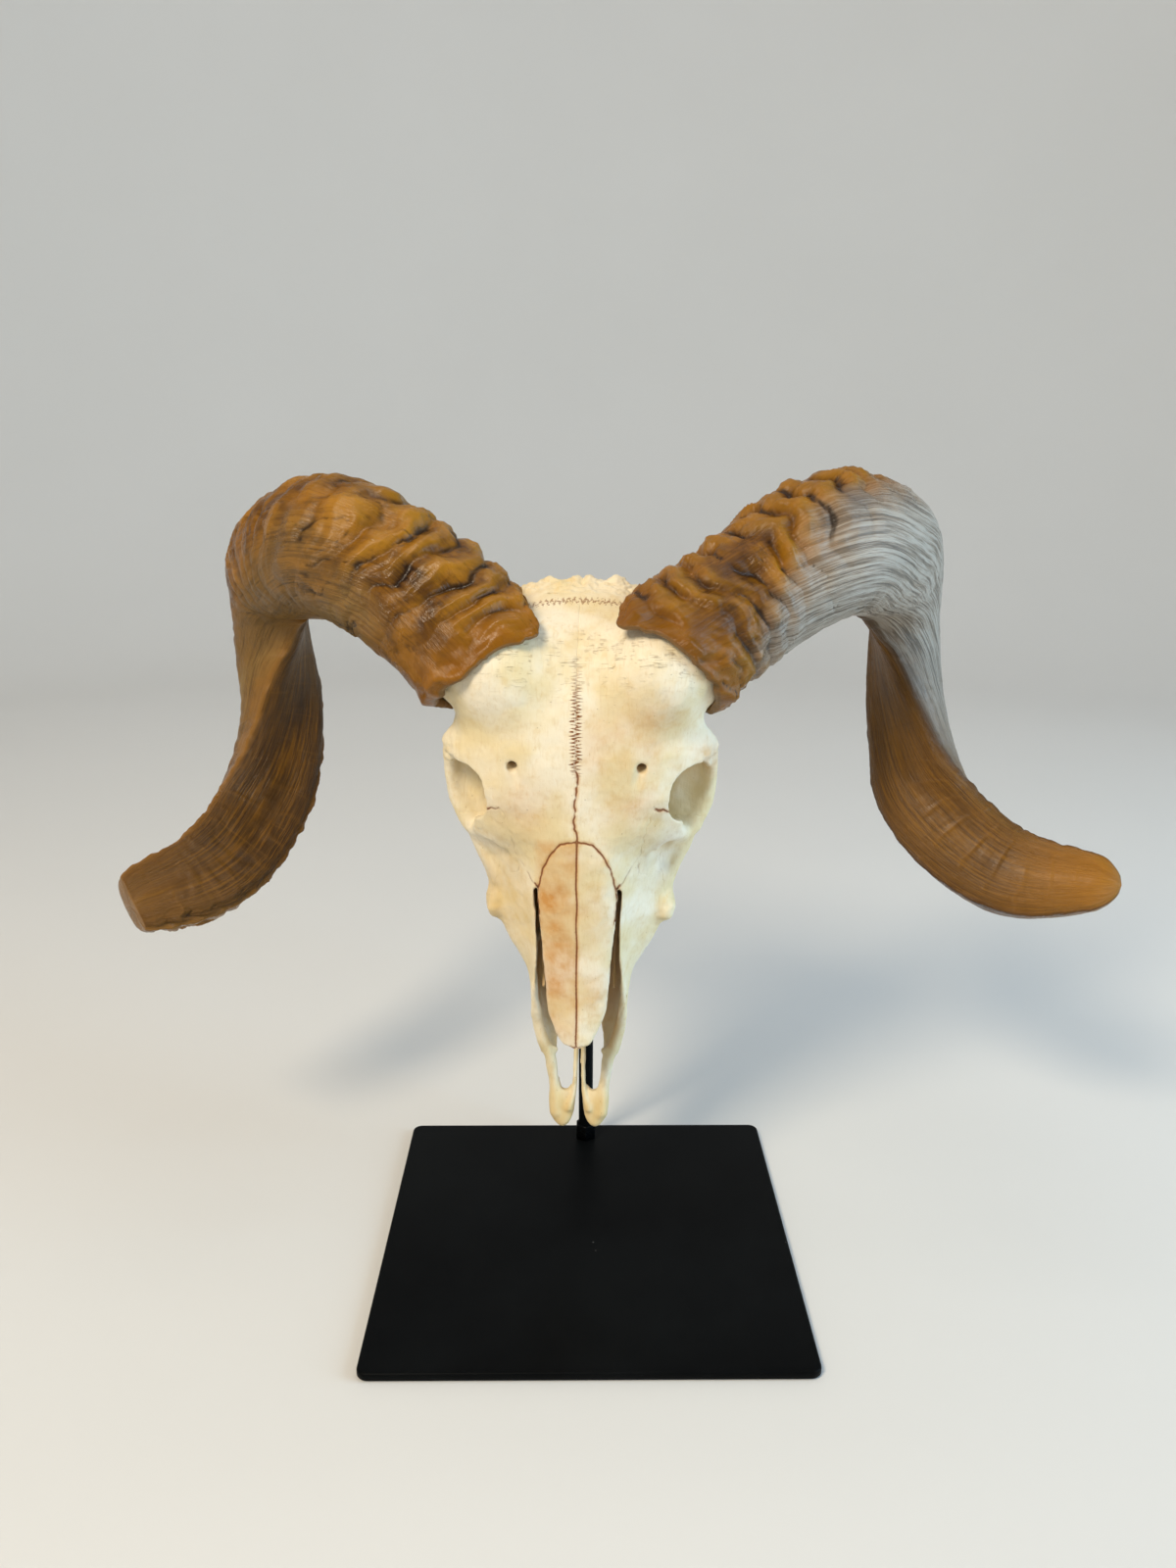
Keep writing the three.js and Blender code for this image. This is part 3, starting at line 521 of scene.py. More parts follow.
def to_mesh(values, low, step, mirror):
    """The points and quads of a field's zero surface, closed where it meets the grid's edge."""
    reach = 4.0
    grid = openvdb.FloatGrid(reach)
    held = np.clip(values, -reach, reach).astype(np.float32)
    grid.copyFromArray(np.pad(held, 1, constant_values=reach))
    points, quads = grid.convertToQuads(isovalue=0.0)
    p = (points.astype(float) - 1) * step + np.array(low)
    if mirror:
        p[:, 0] *= -1
        quads = quads[:, ::-1]
    return p, quads


def smooth_mesh(p, quads, rounds=2, amount=0.45):
    """Evens out the surface a little without shrinking it."""
    edges = np.concatenate([quads[:, [k, (k + 1) % 4]] for k in range(4)])
    n = len(p)
    degree = np.bincount(edges.ravel(), minlength=n)[:, None]
    for _ in range(rounds):
        for sign in (amount, -amount * 1.04):
            total = np.zeros_like(p)
            for c in range(3):
                total[:, c] = (np.bincount(edges[:, 0], p[edges[:, 1], c], n)
                               + np.bincount(edges[:, 1], p[edges[:, 0], c], n))
            p = p + sign * (total / np.maximum(degree, 1) - p)
    return p


def vertex_normals(p, quads):
    n = np.cross(p[quads[:, 2]] - p[quads[:, 0]], p[quads[:, 3]] - p[quads[:, 1]])
    total = np.zeros_like(p)
    for k in range(4):
        for c in range(3):
            total[:, c] += np.bincount(quads[:, k], n[:, c], len(p))
    return total / np.maximum(np.linalg.norm(total, axis=1, keepdims=True), 1e-9)


def raw_mesh(name, points, loops, starts):
    """A mesh from its points, the points round each face in turn, and where each face starts."""
    mesh = bpy.data.meshes.new(name)
    mesh.vertices.add(len(points))
    mesh.vertices.foreach_set("co", points.astype(np.float32).ravel())
    mesh.loops.add(len(loops))
    mesh.loops.foreach_set("vertex_index", loops.astype(np.int32))
    mesh.polygons.add(len(starts))
    mesh.polygons.foreach_set("loop_start", starts.astype(np.int32))
    mesh.polygons.foreach_set("use_smooth", np.ones(len(starts), bool))
    mesh.update(calc_edges=True)
    return mesh


def place_mesh(name, mesh, material, attributes):
    """An object of a mesh, with the values at its points that its material reads."""
    for key, values in attributes.items():
        kind, field = ("FLOAT_VECTOR", "vector") if values.ndim == 2 else ("FLOAT", "value")
        data = mesh.attributes.new(key, kind, "POINT").data
        data.foreach_set(field, values.astype(np.float32).ravel())
    mesh.materials.append(material)
    obj = bpy.data.objects.new(name, mesh)
    bpy.context.scene.collection.objects.link(obj)
    return obj


def surface_object(name, points, quads, material, attributes):
    mesh = raw_mesh(name, points, quads.ravel(), np.arange(0, quads.size, 4))
    mesh.validate()
    return place_mesh(name, mesh, material, attributes)


def closed_object(name, points, quads, fans, material, attributes):
    """A mesh of quads with triangle fans over its ends, turned to face out."""
    starts = [np.arange(0, quads.size, 4), quads.size + np.arange(0, fans.size, 3)]
    mesh = raw_mesh(name, points, np.append(quads.ravel(), fans.ravel()), np.concatenate(starts))
    tri = np.concatenate([quads[:, :3], quads[:, [0, 2, 3]], fans])
    volume = (points[tri[:, 0]] * np.cross(points[tri[:, 1]], points[tri[:, 2]])).sum()
    if volume < 0:
        mesh.flip_normals()
    return place_mesh(name, mesh, material, attributes)


def ring_quads(rows, n, closed=False):
    """Faces between rows of n points each; closed joins the last row to the first."""
    i, j = np.meshgrid(np.arange(rows if closed else rows - 1), np.arange(n), indexing="ij")
    after, beside = (i + 1) % rows * n, (j + 1) % n
    return np.stack([i * n + j, i * n + beside, after + beside, after + j], -1).reshape(-1, 4)


def fan(first, n, hub, flip=False):
    """Triangles from the n points of a ring, numbered on from first, to its hub."""
    e, f = np.arange(n), (np.arange(n) + 1) % n
    if flip:
        e, f = f, e
    return np.stack([first + e, first + f, np.full(n, hub)], 1)


def stack(name, rings, material, attributes):
    """A closed object through rings of points, all of one count, fanned at both ends."""
    rings = np.array(rings)
    rows, n = rings.shape[:2]
    points = np.vstack([rings.reshape(-1, 3), rings[0].mean(0), rings[-1].mean(0)])
    fans = np.concatenate([fan(0, n, rows * n, True), fan((rows - 1) * n, n, rows * n + 1)])
    return closed_object(name, points * MM, ring_quads(rows, n), fans, material, attributes)


def sample(values, low, step, p):
    """Trilinear values of a grid at points."""
    q = np.clip((p - np.array(low)) / step, 0, np.array(values.shape) - BELOW_LAST)
    i = q.astype(int)
    total = np.zeros(len(p))
    for a, b, c, weight in corners(q - i):
        total += weight * values[i[:, 0] + a, i[:, 1] + b, i[:, 2] + c]
    return total


def blurred(values, reach):
    """A box blur of a grid, for telling hollows from ridges."""
    out = values
    for axis in range(3):
        padded = np.concatenate([np.repeat(np.take(out, [0], axis), reach + 1, axis), out,
                                 np.repeat(np.take(out, [-1], axis), reach, axis)], axis)
        total = np.cumsum(padded, axis, dtype=np.float64)
        size = 2 * reach + 1
        upper = np.take(total, range(size, total.shape[axis]), axis)
        lower = np.take(total, range(0, total.shape[axis] - size), axis)
        out = ((upper - lower) / size).astype(np.float32)
    return out


def unfold(half):
    """A whole grid over both sides from a half grid that starts MARGIN steps below x = 0."""
    right = half[MARGIN:]
    return np.concatenate([right[:0:-1], right])


SKULL_WINDOWS = {  # a box round each parted bone, as its lowest and highest (x, d, s)
    "nasal": ((-4, 26, 38), (22, 96, 140)),
    "premaxilla": ((-4, -10, -5), (32, 64, 74)),
    "frontal": ((-4, 62, 106), (74, 122, 250)),
    "lacrimal": ((22, 48, 116), (72, 114, 158)),
    "zygomatic": ((32, 16, 106), (74, 70, 198)),
    "maxilla": ((-4, -24, 26), (73, 104, 160)),
}


class Skull:
    """The finished fields, and the bones meshed from them."""

    def __init__(self):
        self.field = head_field()
        for shape in (horn_stems, orbits_and_arch, face_relief, skull_base, occiput):
            shape(self.field)
        self.skin = self.field.v.copy()
        for shape in (hollow_snout, slit_and_nasals, premaxillae, nose_inside, rod_socket):
            shape(self.field)
        for grid in (self.field.v, self.skin):
            grid[:MARGIN] = grid[2 * MARGIN:MARGIN:-1]
        self.step = self.field.step
        self.low = self.field.low
        solid = unit(0.5 - unfold(self.field.v) / (2 * self.step))
        self.close = blurred(solid, max(1, round(2.4 / self.step)))
        self.wide = blurred(self.close, max(2, round(7.0 / self.step)))
        self.low_whole = np.array([-(self.field.count[0] - 1 - MARGIN) * self.step, self.low[1], self.low[2]])

    def plans(self, side, x, s):
        """Every parted bone's outline on the plan, as distances, in the order of their cutting."""
        seed = 11 if side > 0 else 47
        ring = [[e[1], e[0]] for e in NASAL_EDGE] + [[-e[1], e[0]] for e in NASAL_EDGE[::-1]]
        made = {"nasal": (plan_distance(ring, x, s, 0.22, seed), 26.5, 200)}
        for n, (bone, (outline, low, high)) in enumerate(SUTURES.items()):
            jag = 0.5 if bone in ("frontal", "lacrimal") else 0.3
            made[bone] = (plan_distance(outline, x, s, jag, seed + n), low, high)
        return made

    def region(self, side, bone, window=None):
        """Distance to a bone's share of the skull on one side; a bone of None is all that is left."""
        axes, cut = list(self.field.axes), [slice(None)] * 3
        if window:
            for k in range(3):
                a = max(int((window[0][k] - self.low[k]) / self.step), 0)
                b = min(int((window[1][k] - self.low[k]) / self.step) + 1, self.field.count[k])
                cut[k] = slice(a, b)
                axes[k] = axes[k][cut[k]]
        x, d, s = axes
        everywhere = -50.0
        share = np.full((len(x), len(d), len(s)), everywhere, np.float32)
        for name, (plan, low, high) in self.plans(side, x, s).items():
            walls = np.maximum(low - d, d - high)[None, :, None].astype(np.float32)
            solid = np.maximum(plan[:, None, :].astype(np.float32), walls)
            if name == bone:
                share = np.maximum(share, solid)
                break
            share = np.maximum(share, -solid)
        if bone:
            middle = middle_line(s, 3)
            steep = np.sqrt(1 + np.gradient(middle, s) ** 2)
            over = (middle[None, :] - side * x[:, None]) * side / steep[None, :]
            share = np.maximum(share, over[:, None, :].astype(np.float32))
        return share, tuple(cut), [a[0] for a in axes]

    def mesh(self, name, values, share, low, mirror, material):
        """One bone's object, with its relief and what its material reads at each point."""
        p, quads = to_mesh(np.maximum(values, share - LAP), low, self.step, mirror)
        p = smooth_mesh(p, quads)
        own = p * [-1, 1, 1] if mirror else p
        seam = -sample(share, low, self.step, own)
        depth = -sample(self.skin, self.low, self.step, np.abs(p) * [1, 0, 0] + p * [0, 1, 1])
        n = vertex_normals(p, quads)
        # how closely bone surrounds each point, near and farther out; the material paints shade in hollows
        # from these
        close = sample(self.close, self.low_whole, self.step, p + n * 0.6)
        wide = sample(self.wide, self.low_whole, self.step, p + n * 1.5)
        suture = seam_strength(p) * unit(1 - depth / 2.5)
        line = suture * hump(seam, SUTURE_WIDTH)
        lap_edge = 0.4 * unit(-seam)
        p = p + n * (surface_relief(p) - SUTURE_DEPTH * line - lap_edge)[:, None]
        zigzag = unit((p[:, 2] - 163) / 7) * unit((218 - p[:, 2]) / 26) * (p[:, 1] > 90)
        attributes = {"place": p, "seam": seam, "suture": suture, "zigzag": zigzag, "depth": depth,
                      "hollow": close, "basin": wide, **stains(p)}
        return surface_object(name, skull_to_world(p), quads, material, attributes)

    def build(self, material):
        """Every bone's object by its node's name: the paired bones, then the three behind them."""
        made = {}
        for word, side in SIDES.items():
            for bone, window in SKULL_WINDOWS.items():
                share, cut, low = self.region(side, bone, window)
                node = f"{bone}_{word}"
                made[node] = self.mesh(f"bone_{node}", self.field.v[cut], share, low, side < 0, material)
        left, right = (self.region(side, None)[0][MARGIN:] for side in (-1, 1))
        share = np.concatenate([left[:0:-1], right])
        values = unfold(self.field.v)
        d, s = self.field.axes[1:]
        x = self.low_whole[0] + self.step * np.arange(values.shape[0])
        lambdoid = plan_distance(behind(LAMBDOID_S), x, s, 0.7, 5)[:, None, :].astype(np.float32)
        nuchal = plan_distance(behind(NUCHAL_S), x, s, 0.5, 6)[:, None, :].astype(np.float32)
        parietal_floor = 57.0
        top = (parietal_floor - d)[None, :, None].astype(np.float32)
        parietal = np.maximum(np.maximum(lambdoid, -nuchal), top)
        back = {
            "parietal": np.maximum(share, parietal),
            "occipital": np.maximum(np.maximum(share, nuchal), -parietal),
            "braincase": np.maximum(np.maximum(share, -nuchal), -parietal),
        }
        for node, part in back.items():
            made[node] = self.mesh(f"bone_{node}", values, part, self.low_whole, False, material)
        return made


def seam_strength(p):
    """How dark and open a suture through each point would be, from 0 to 1."""
    x, s = np.abs(p[:, 0]), p[:, 2]
    middle = hump(np.clip(x - 2.6, 0, None), 0.6)
    open_middle = np.interp(s, [36, 42, 130, 138, 164, 172, 200, 208], [0.4, 0.6, 0.7, 1, 1, 0.08, 0, 0])
    half = smooth_through(NASAL_EDGE, s)
    arc = hump(x - half, 2.2) * (s > 104) * (s < 138.5)
    arc = np.maximum(arc, hump(s - 136.3, 1.6) * (x < 10))
    slant = np.interp(s, [112, 118, 136, 146], [0.9, 0.3, 0.2, 0.0]) * (x > 16) * (x < 31) * (p[:, 1] > 58)
    lacrimal = 0.7 * hump(s - 151.5, 1.8) * unit((x - 34) / 2) * unit((49 - x) / 3)
    lacrimal = lacrimal * (p[:, 1] > 67)
    patchy = np.clip(0.75 + 0.7 * noise(p / 2.4, 90) + 0.25 * noise(p / 9.0, 91), 0.1, 1.15)
    patchy = np.where((x < 4) & (s < 135), 1.0, patchy)
    above = p[:, 1] > 26
    return np.maximum.reduce([middle * open_middle * (0.3 + 0.7 * above), arc * above, slant * (1 - arc),
                              lacrimal]) * patchy


def coarse_rim(p):
    """How far a point is on the rough edge over an eye, from 0 to 1."""
    x, d, s = np.abs(p[:, 0]), p[:, 1], p[:, 2]
    return np.exp(-((x - 57) / 8) ** 2 - ((s - 174) / 13) ** 2 - ((d - 74) / 9) ** 2)


def surface_relief(p):
    """How far the surface stands out, in millimetres: pores, pits and the brow's fine wrinkles."""
    lumps = 0.28 * fractal(p / 7.0, 3, 3) + 0.07 * noise(p / 1.7, 8)
    brow = np.exp(-((p[:, 2] - 219) / 9) ** 2 - (p[:, 0] / 27) ** 4) * (p[:, 1] > 80)
    bent = p[:, 2] + 2.2 * noise(p / [9, 9, 30], 21) + 0.02 * p[:, 0] ** 2
    wrinkles = 0.22 * np.sin(bent * 2 * math.pi / 2.6) * noise(p / [6, 6, 3], 22)
    tuber = np.exp(-((np.abs(p[:, 0]) - 42) / 6) ** 2 - ((p[:, 2] - 110) / 12) ** 2
                   - ((p[:, 1] - 31) / 9) ** 2)
    process = coarse_rim(p)
    nape = unit((p[:, 2] - 250) / 5) * unit((p[:, 1] - 45) / 15)
    coarse = (0.9 * tuber + 1.0 * process + 1.1 * nape) * noise(p / 2.6, 31)
    coarse += (0.3 * process + 0.5 * nape) * noise(p / 1.3, 32)
    return lumps + wrinkles * brow + coarse


def spot(p, at, size):
    """A soft patch: 1 in its middle."""
    return np.exp(-sum(((p[:, k] - at[k]) / size[k]) ** 2 for k in range(3)))


def stains(p):
    """Stained places: peach on the nose and brow, yellow at the tips; painted shade in the eyes' front pits
    and on the left cheek.
    """
    patch = 0.5 + 0.5 * fractal(p / 16.0, 3, 60)
    fine = 0.5 + 0.5 * fractal(p / [3.0, 3.0, 6.0], 2, 70)
    nose = unit(1 - (np.abs(p[:, 0]) - 17) / 3) * unit((p[:, 1] - 27) / 4)
    nose *= unit((138 - p[:, 2]) / 3) * unit((p[:, 2] - 38) / 12)
    streak = spot(p, (-9, 62, 95), (8, 60, 30)) + 0.8 * spot(p, (-11, 55, 70), (5, 60, 9))
    streak += 0.9 * spot(p, (8, 50, 66), (7, 60, 9)) + 0.5 * spot(p, (6, 60, 104), (8, 60, 16))
    brow = spot(p, (14, 92, 178), (12, 40, 13)) + spot(p, (34, 92, 184), (16, 40, 14))
    brow += 0.8 * spot(p, (-26, 92, 150), (14, 40, 12)) + 0.9 * spot(p, (28, 90, 150), (16, 40, 12))
    brow += 0.8 * spot(p, (60, 72, 178), (9, 20, 9))
    peach = nose * (0.08 + 0.42 * (p[:, 0] < 0.5) + 0.65 * streak) * (0.4 + 0.9 * patch)
    peach += 0.55 * brow * (0.35 + 0.8 * patch)
    # painted shade: grey in the pit in front of each eye
    pit_shade = spot(p, (40, 54, 132), (9, 14, 14)) + 0.8 * spot(p, (-41, 48, 118), (8, 14, 12))
    yellow = unit((26 - p[:, 2]) / 18) * (p[:, 1] < 20) * 0.9
    yellow += 0.35 * spot(p, (20, 18, 52), (9, 14, 16))
    yellow += 0.4 * unit((p[:, 2] - 232) / 14)
    # the left cheek is darker and browner: partly a stain, partly painted shade on the side turned from the
    # light
    cheek = spot(p, (-37, 48, 108), (16, 22, 24)) * (p[:, 0] < 0)
    yellow += 0.9 * cheek
    peach += 0.3 * cheek * patch
    yellow = unit(yellow * (0.5 + fine))
    wrinkled = hump(p[:, 2] - 215, 15) * unit((p[:, 1] - 84) / 8)
    return {"coarse": coarse_rim(p), "brow": wrinkled, "peach": peach, "pit_shade": pit_shade * patch, "yellow": yellow}


# ---- Teeth --------------------------------------------------------------------------------------
def tooth_row(word, material):
    """Six upper cheek teeth: folded columns with worn, W-shaped crowns, set close in one row."""
    step = TEETH_VOXEL
    low, high = np.array((12.0, -22.0, 78.0)), np.array((44.0, 12.0, 158.0))
    axes = [np.arange(low[k], high[k], step) for k in range(3)]
    x, d, s = np.meshgrid(*axes, indexing="ij", sparse=True)
    total = np.full([len(axis) for axis in axes], FAR)
    # along and across the row, from the first premolar to the last molar
    sizes = [(8.6, 8.0), (9.6, 9.6), (10.4, 10.8), (13.0, 12.6), (15.4, 13.0), (16.0, 12.0)]
    at, gap, corner = 82.0, 0.1, 3.2
    for n, (along, across) in enumerate(sizes):
        middle = at + along / 2
        gum_x, gum_d = line_at("gum", middle)
        cx = gum_x - across / 2 - 0.4
        lean = 0.12 * (118 - middle) / 36
        crown = 8.5 + 2.2 * (n > 2)
        u = (s - middle - lean * (gum_d - d)) / (along / 2 - 0.25)
        w = (x - cx + 0.07 * (gum_d - d)) / (across / 2)
        folds = 2 if n > 2 else 1
        rib = 0.13 * np.cos(u * math.pi * folds * 2) + 0.05 * np.cos(u * math.pi * folds * 4)
        outer = np.abs(u) ** corner + np.abs(w) ** corner
        body = (outer ** (1 / corner) - 1 - rib * unit(np.abs(w)) * 0.5) * across / 2
        lobe = np.abs(u) * folds - (folds - 1)  # -1 to 1 over each half of a molar
        edges = 1.6 * hump(w - 0.5 - 0.3 * lobe ** 2, 0.18)
        edges = edges + 1.1 * hump(w + 0.78 - 0.62 * lobe ** 2, 0.18)
        worn = (gum_d - crown - edges + 0.7) - d
        tooth = np.maximum(np.maximum(body, worn), d - (gum_d + 7))
        total = np.minimum(total, tooth)
        at += along + gap
    p, quads = to_mesh(total, low, step, SIDES[word] < 0)
    p = smooth_mesh(p, quads, 1)
    p = p + vertex_normals(p, quads) * (0.06 * noise(p / [1.5, 5.0, 1.5], 15))[:, None]
    root = unit((p[:, 1] + 6) / 8)
    return surface_object(f"teeth_{word}", skull_to_world(p), quads, material, {"place": p, "root": root})


# ---- Horns --------------------------------------------------------------------------------------
def curve_through(points, count):
    """Points evenly spaced along a centripetal Catmull-Rom curve, with its parameter there."""
    p = np.array(points, float)
    ends = np.vstack([2 * p[0] - p[1], p, 2 * p[-1] - p[-2]])
    rows, marks = [], []
    fine = 60
    for i in range(len(p) - 1):
        a, b, c, d = ends[i:i + 4]
        k = [np.linalg.norm(u - v) ** 0.5 for u, v in ((b, a), (c, b), (d, c))]
        m1 = (b - a) / k[0] - (c - a) / (k[0] + k[1]) + (c - b) / k[1]
        m2 = (c - b) / k[1] - (d - b) / (k[1] + k[2]) + (d - c) / k[2]
        m1, m2 = m1 * k[1], m2 * k[1]
        for j in range(fine):
            t = j / fine
            rows.append(b * (2 * t ** 3 - 3 * t * t + 1) + m1 * (t ** 3 - 2 * t * t + t)
                        + c * (3 * t * t - 2 * t ** 3) + m2 * (t ** 3 - t * t))
            marks.append((i + t) / (len(p) - 1))
    rows.append(p[-1])
    marks.append(1.0)
    rows, marks = np.array(rows), np.array(marks)
    walked = np.concatenate([[0], np.cumsum(np.linalg.norm(np.diff(rows, axis=0), axis=1))])
    even = np.linspace(0, walked[-1], count)
    place = np.stack([np.interp(even, walked, rows[:, k]) for k in range(3)], 1)
    return place, np.interp(even, walked, marks), even


def horn_path(name, side):
    """The middles of a horn's rings, how far along they lie, and their directions and half sizes."""
    stations = HORN_STATIONS[name]
    centres = [row[0] for row in stations]
    length = curve_through(centres, 400)[2][-1]
    at, mark, along = curve_through(centres, int(length / HORN_CELL))
    tangent = np.gradient(at, axis=0)
    for _ in range(6):
        tangent[1:-1] = (tangent[:-2] + tangent[1:-1] + tangent[2:]) / 3
    tangent /= np.linalg.norm(tangent, axis=1, keepdims=True)
    outward = at * [0, 1, 1] - [0, CURL_AXIS_Y, CURL_AXIS_Z]
    outward -= tangent * (outward * tangent).sum(1, keepdims=True)
    outward /= np.linalg.norm(outward, axis=1, keepdims=True)
    across = np.cross(tangent, outward)
    knots = np.arange(len(stations)) / (len(stations) - 1)
    sizes = (smooth_through(list(zip(knots, [row[k] for row in stations])), mark) for k in (1, 2, 3))
    breadth, depth, roll = (size[:, None] for size in sizes)
    roll = np.radians(roll) * -side
    across, outward = (across * np.cos(roll) + outward * np.sin(roll),
                       outward * np.cos(roll) - across * np.sin(roll))
    return at, along, (tangent, across, outward), breadth, depth


def horn_relief(side, along, c, v, late, rim, lumps):
    """How far a horn's surface stands out, and where its grooves, crests and other marks lie."""
    u = along[:, None]
    part = u / along[-1]
    pitch = 13.5 - 4.0 * part
    turns = np.cumsum((along[1] - along[0]) / pitch)[:, None]
    drift = 7.0 * lumps((30, 22, 22), 0) + 3.0 * lumps((13, 9, 9), 1) + 3.0 * rim + 2.0 * v
    phase = turns + drift / pitch
    crest = phase - np.floor(phase)
    # each ridge rises slowly and drops into a narrow groove that comes and goes
    profile = 0.5 * np.sin(math.pi * crest ** 0.8) ** 0.75
    profile = profile + 0.5 * (0.5 - 0.5 * np.cos(2 * math.pi * crest ** 0.9))
    open_up = np.clip(0.65 + 0.9 * lumps((16, 13, 13), 2), 0.0, 1.2)
    groove = hump(np.minimum(crest, 1 - crest), 0.09) * open_up
    front = np.interp(part, [0, 0.1, 0.3, 0.42, 0.5, 0.75, 0.95, 1.0],
                      [3.8, 4.0, 3.5, 2.3, 1.3, 1.9, 2.2, 0.6])
    inner = unit((-0.18 - v) / 0.3) * late
    upper = unit(0.62 + 0.6 * rim)
    if side > 0:
        fade = unit((part - 0.12 * rim - 0.17) / 0.09)
        strength = front * (0.6 + 0.4 * upper) * (1 - 0.93 * fade)
    else:
        strength = front * (0.12 + 0.88 * upper)
    flat = 0.9 * inner * np.clip(1 - (part - 0.8) * 5, 0.4, 1)
    patchy = np.clip(0.8 + 0.6 * lumps((20, 12, 12), 9), 0.1, 1.5)
    strength = strength * (1 - flat) * (1 - 0.7 * hump(u, 12.0)) * patchy
    minor = 0.3 * np.sin(2 * math.pi * (phase * 4 + 0.6 * lumps((9, 9, 9), 3)))
    knobs = lumps((11, 8, 8), 5)
    stand = strength * (profile - 0.6) - 0.3 * groove * strength + minor * np.clip(strength / 2, 0.15, 1)
    stand = stand + (0.25 + (0.75 if side > 0 else 0.5) * np.clip(strength, 0, 3)) * knobs
    stand = stand + 0.11 * lumps((60, 2.1, 2.1), 7) + 0.10 * lumps((3, 1.4, 1.4), 11)

    # fine steps across the flat side
    steps = np.cos(2 * math.pi * (0.75 * turns + 0.3 * lumps((40, 26, 26), 25) - 0.2 * c * c))
    steps = unit(steps - 0.86) / 0.14 * inner * unit((part - 0.6) * 5)
    steps = steps * unit(0.5 + 1.2 * lumps((14, 14, 14), 27))
    stand = stand + 0.35 * steps

    # cracks across the ridges, deepest on the first arm
    crackle = np.abs(lumps((12, 9, 9), 13, 3))
    crack = hump(crackle, 0.07) * unit(lumps((30, 16, 16), 17) * 2.4 - 0.1)
    crack = crack * unit(1.3 - part * 3.0) * (v > -0.3)
    stand = stand - 0.9 * crack

    # the keels of the lower arm, with chips in them
    keel = late * hump(np.abs(c) - 0.97, 0.07) * hump(v + 0.2, 0.2)
    stand = stand + keel * (1.3 + 0.9 * lumps((7, 40, 40), 19))

    # the lumpy collar at the base
    base = hump(u, 15.0)
    collar = base * (1.2 + 3.2 * lumps((13, 9, 9), 23))
    stand = stand + collar * np.clip(u / 5.0 + 0.2, 0.2, 1)
    return stand, {
        "groove": unit(groove * unit(strength / 2.4) + crack),
        "crest": np.clip(profile * strength / 3.0 + 0.4 * knobs, 0, 1.5),
        "keel": keel,
        "step": steps,
        "inner": inner,
        "base": base,
    }


def horn_values(fields, grain, lead, trail):
    """Each field's value at every point of a closed horn, which has more rings before and after."""
    count, around = grain.shape[:2]

    def stretch(values):
        values = np.broadcast_to(values, (count, around))
        return np.concatenate([values[:1]] * lead + [values] + [values[-1:]] * trail).ravel()

    made = {key: np.append(stretch(value), [0.0, 0.0]) for key, value in fields.items()}
    grown = np.stack([stretch(grain[..., k]) for k in range(3)], 1)
    made["grain"] = np.vstack([grown, grown[:1], grown[-1:]])
    spans = np.array([lead, count, trail]) * around
    for key, marks, hubs in (("cut", [1.0, 0.0, 0.0], [1, 0]), ("sawn", [0.0, 0.0, 1.0], [0, 1])):
        made[key] = np.append(np.repeat(marks, spans), hubs)
    return made


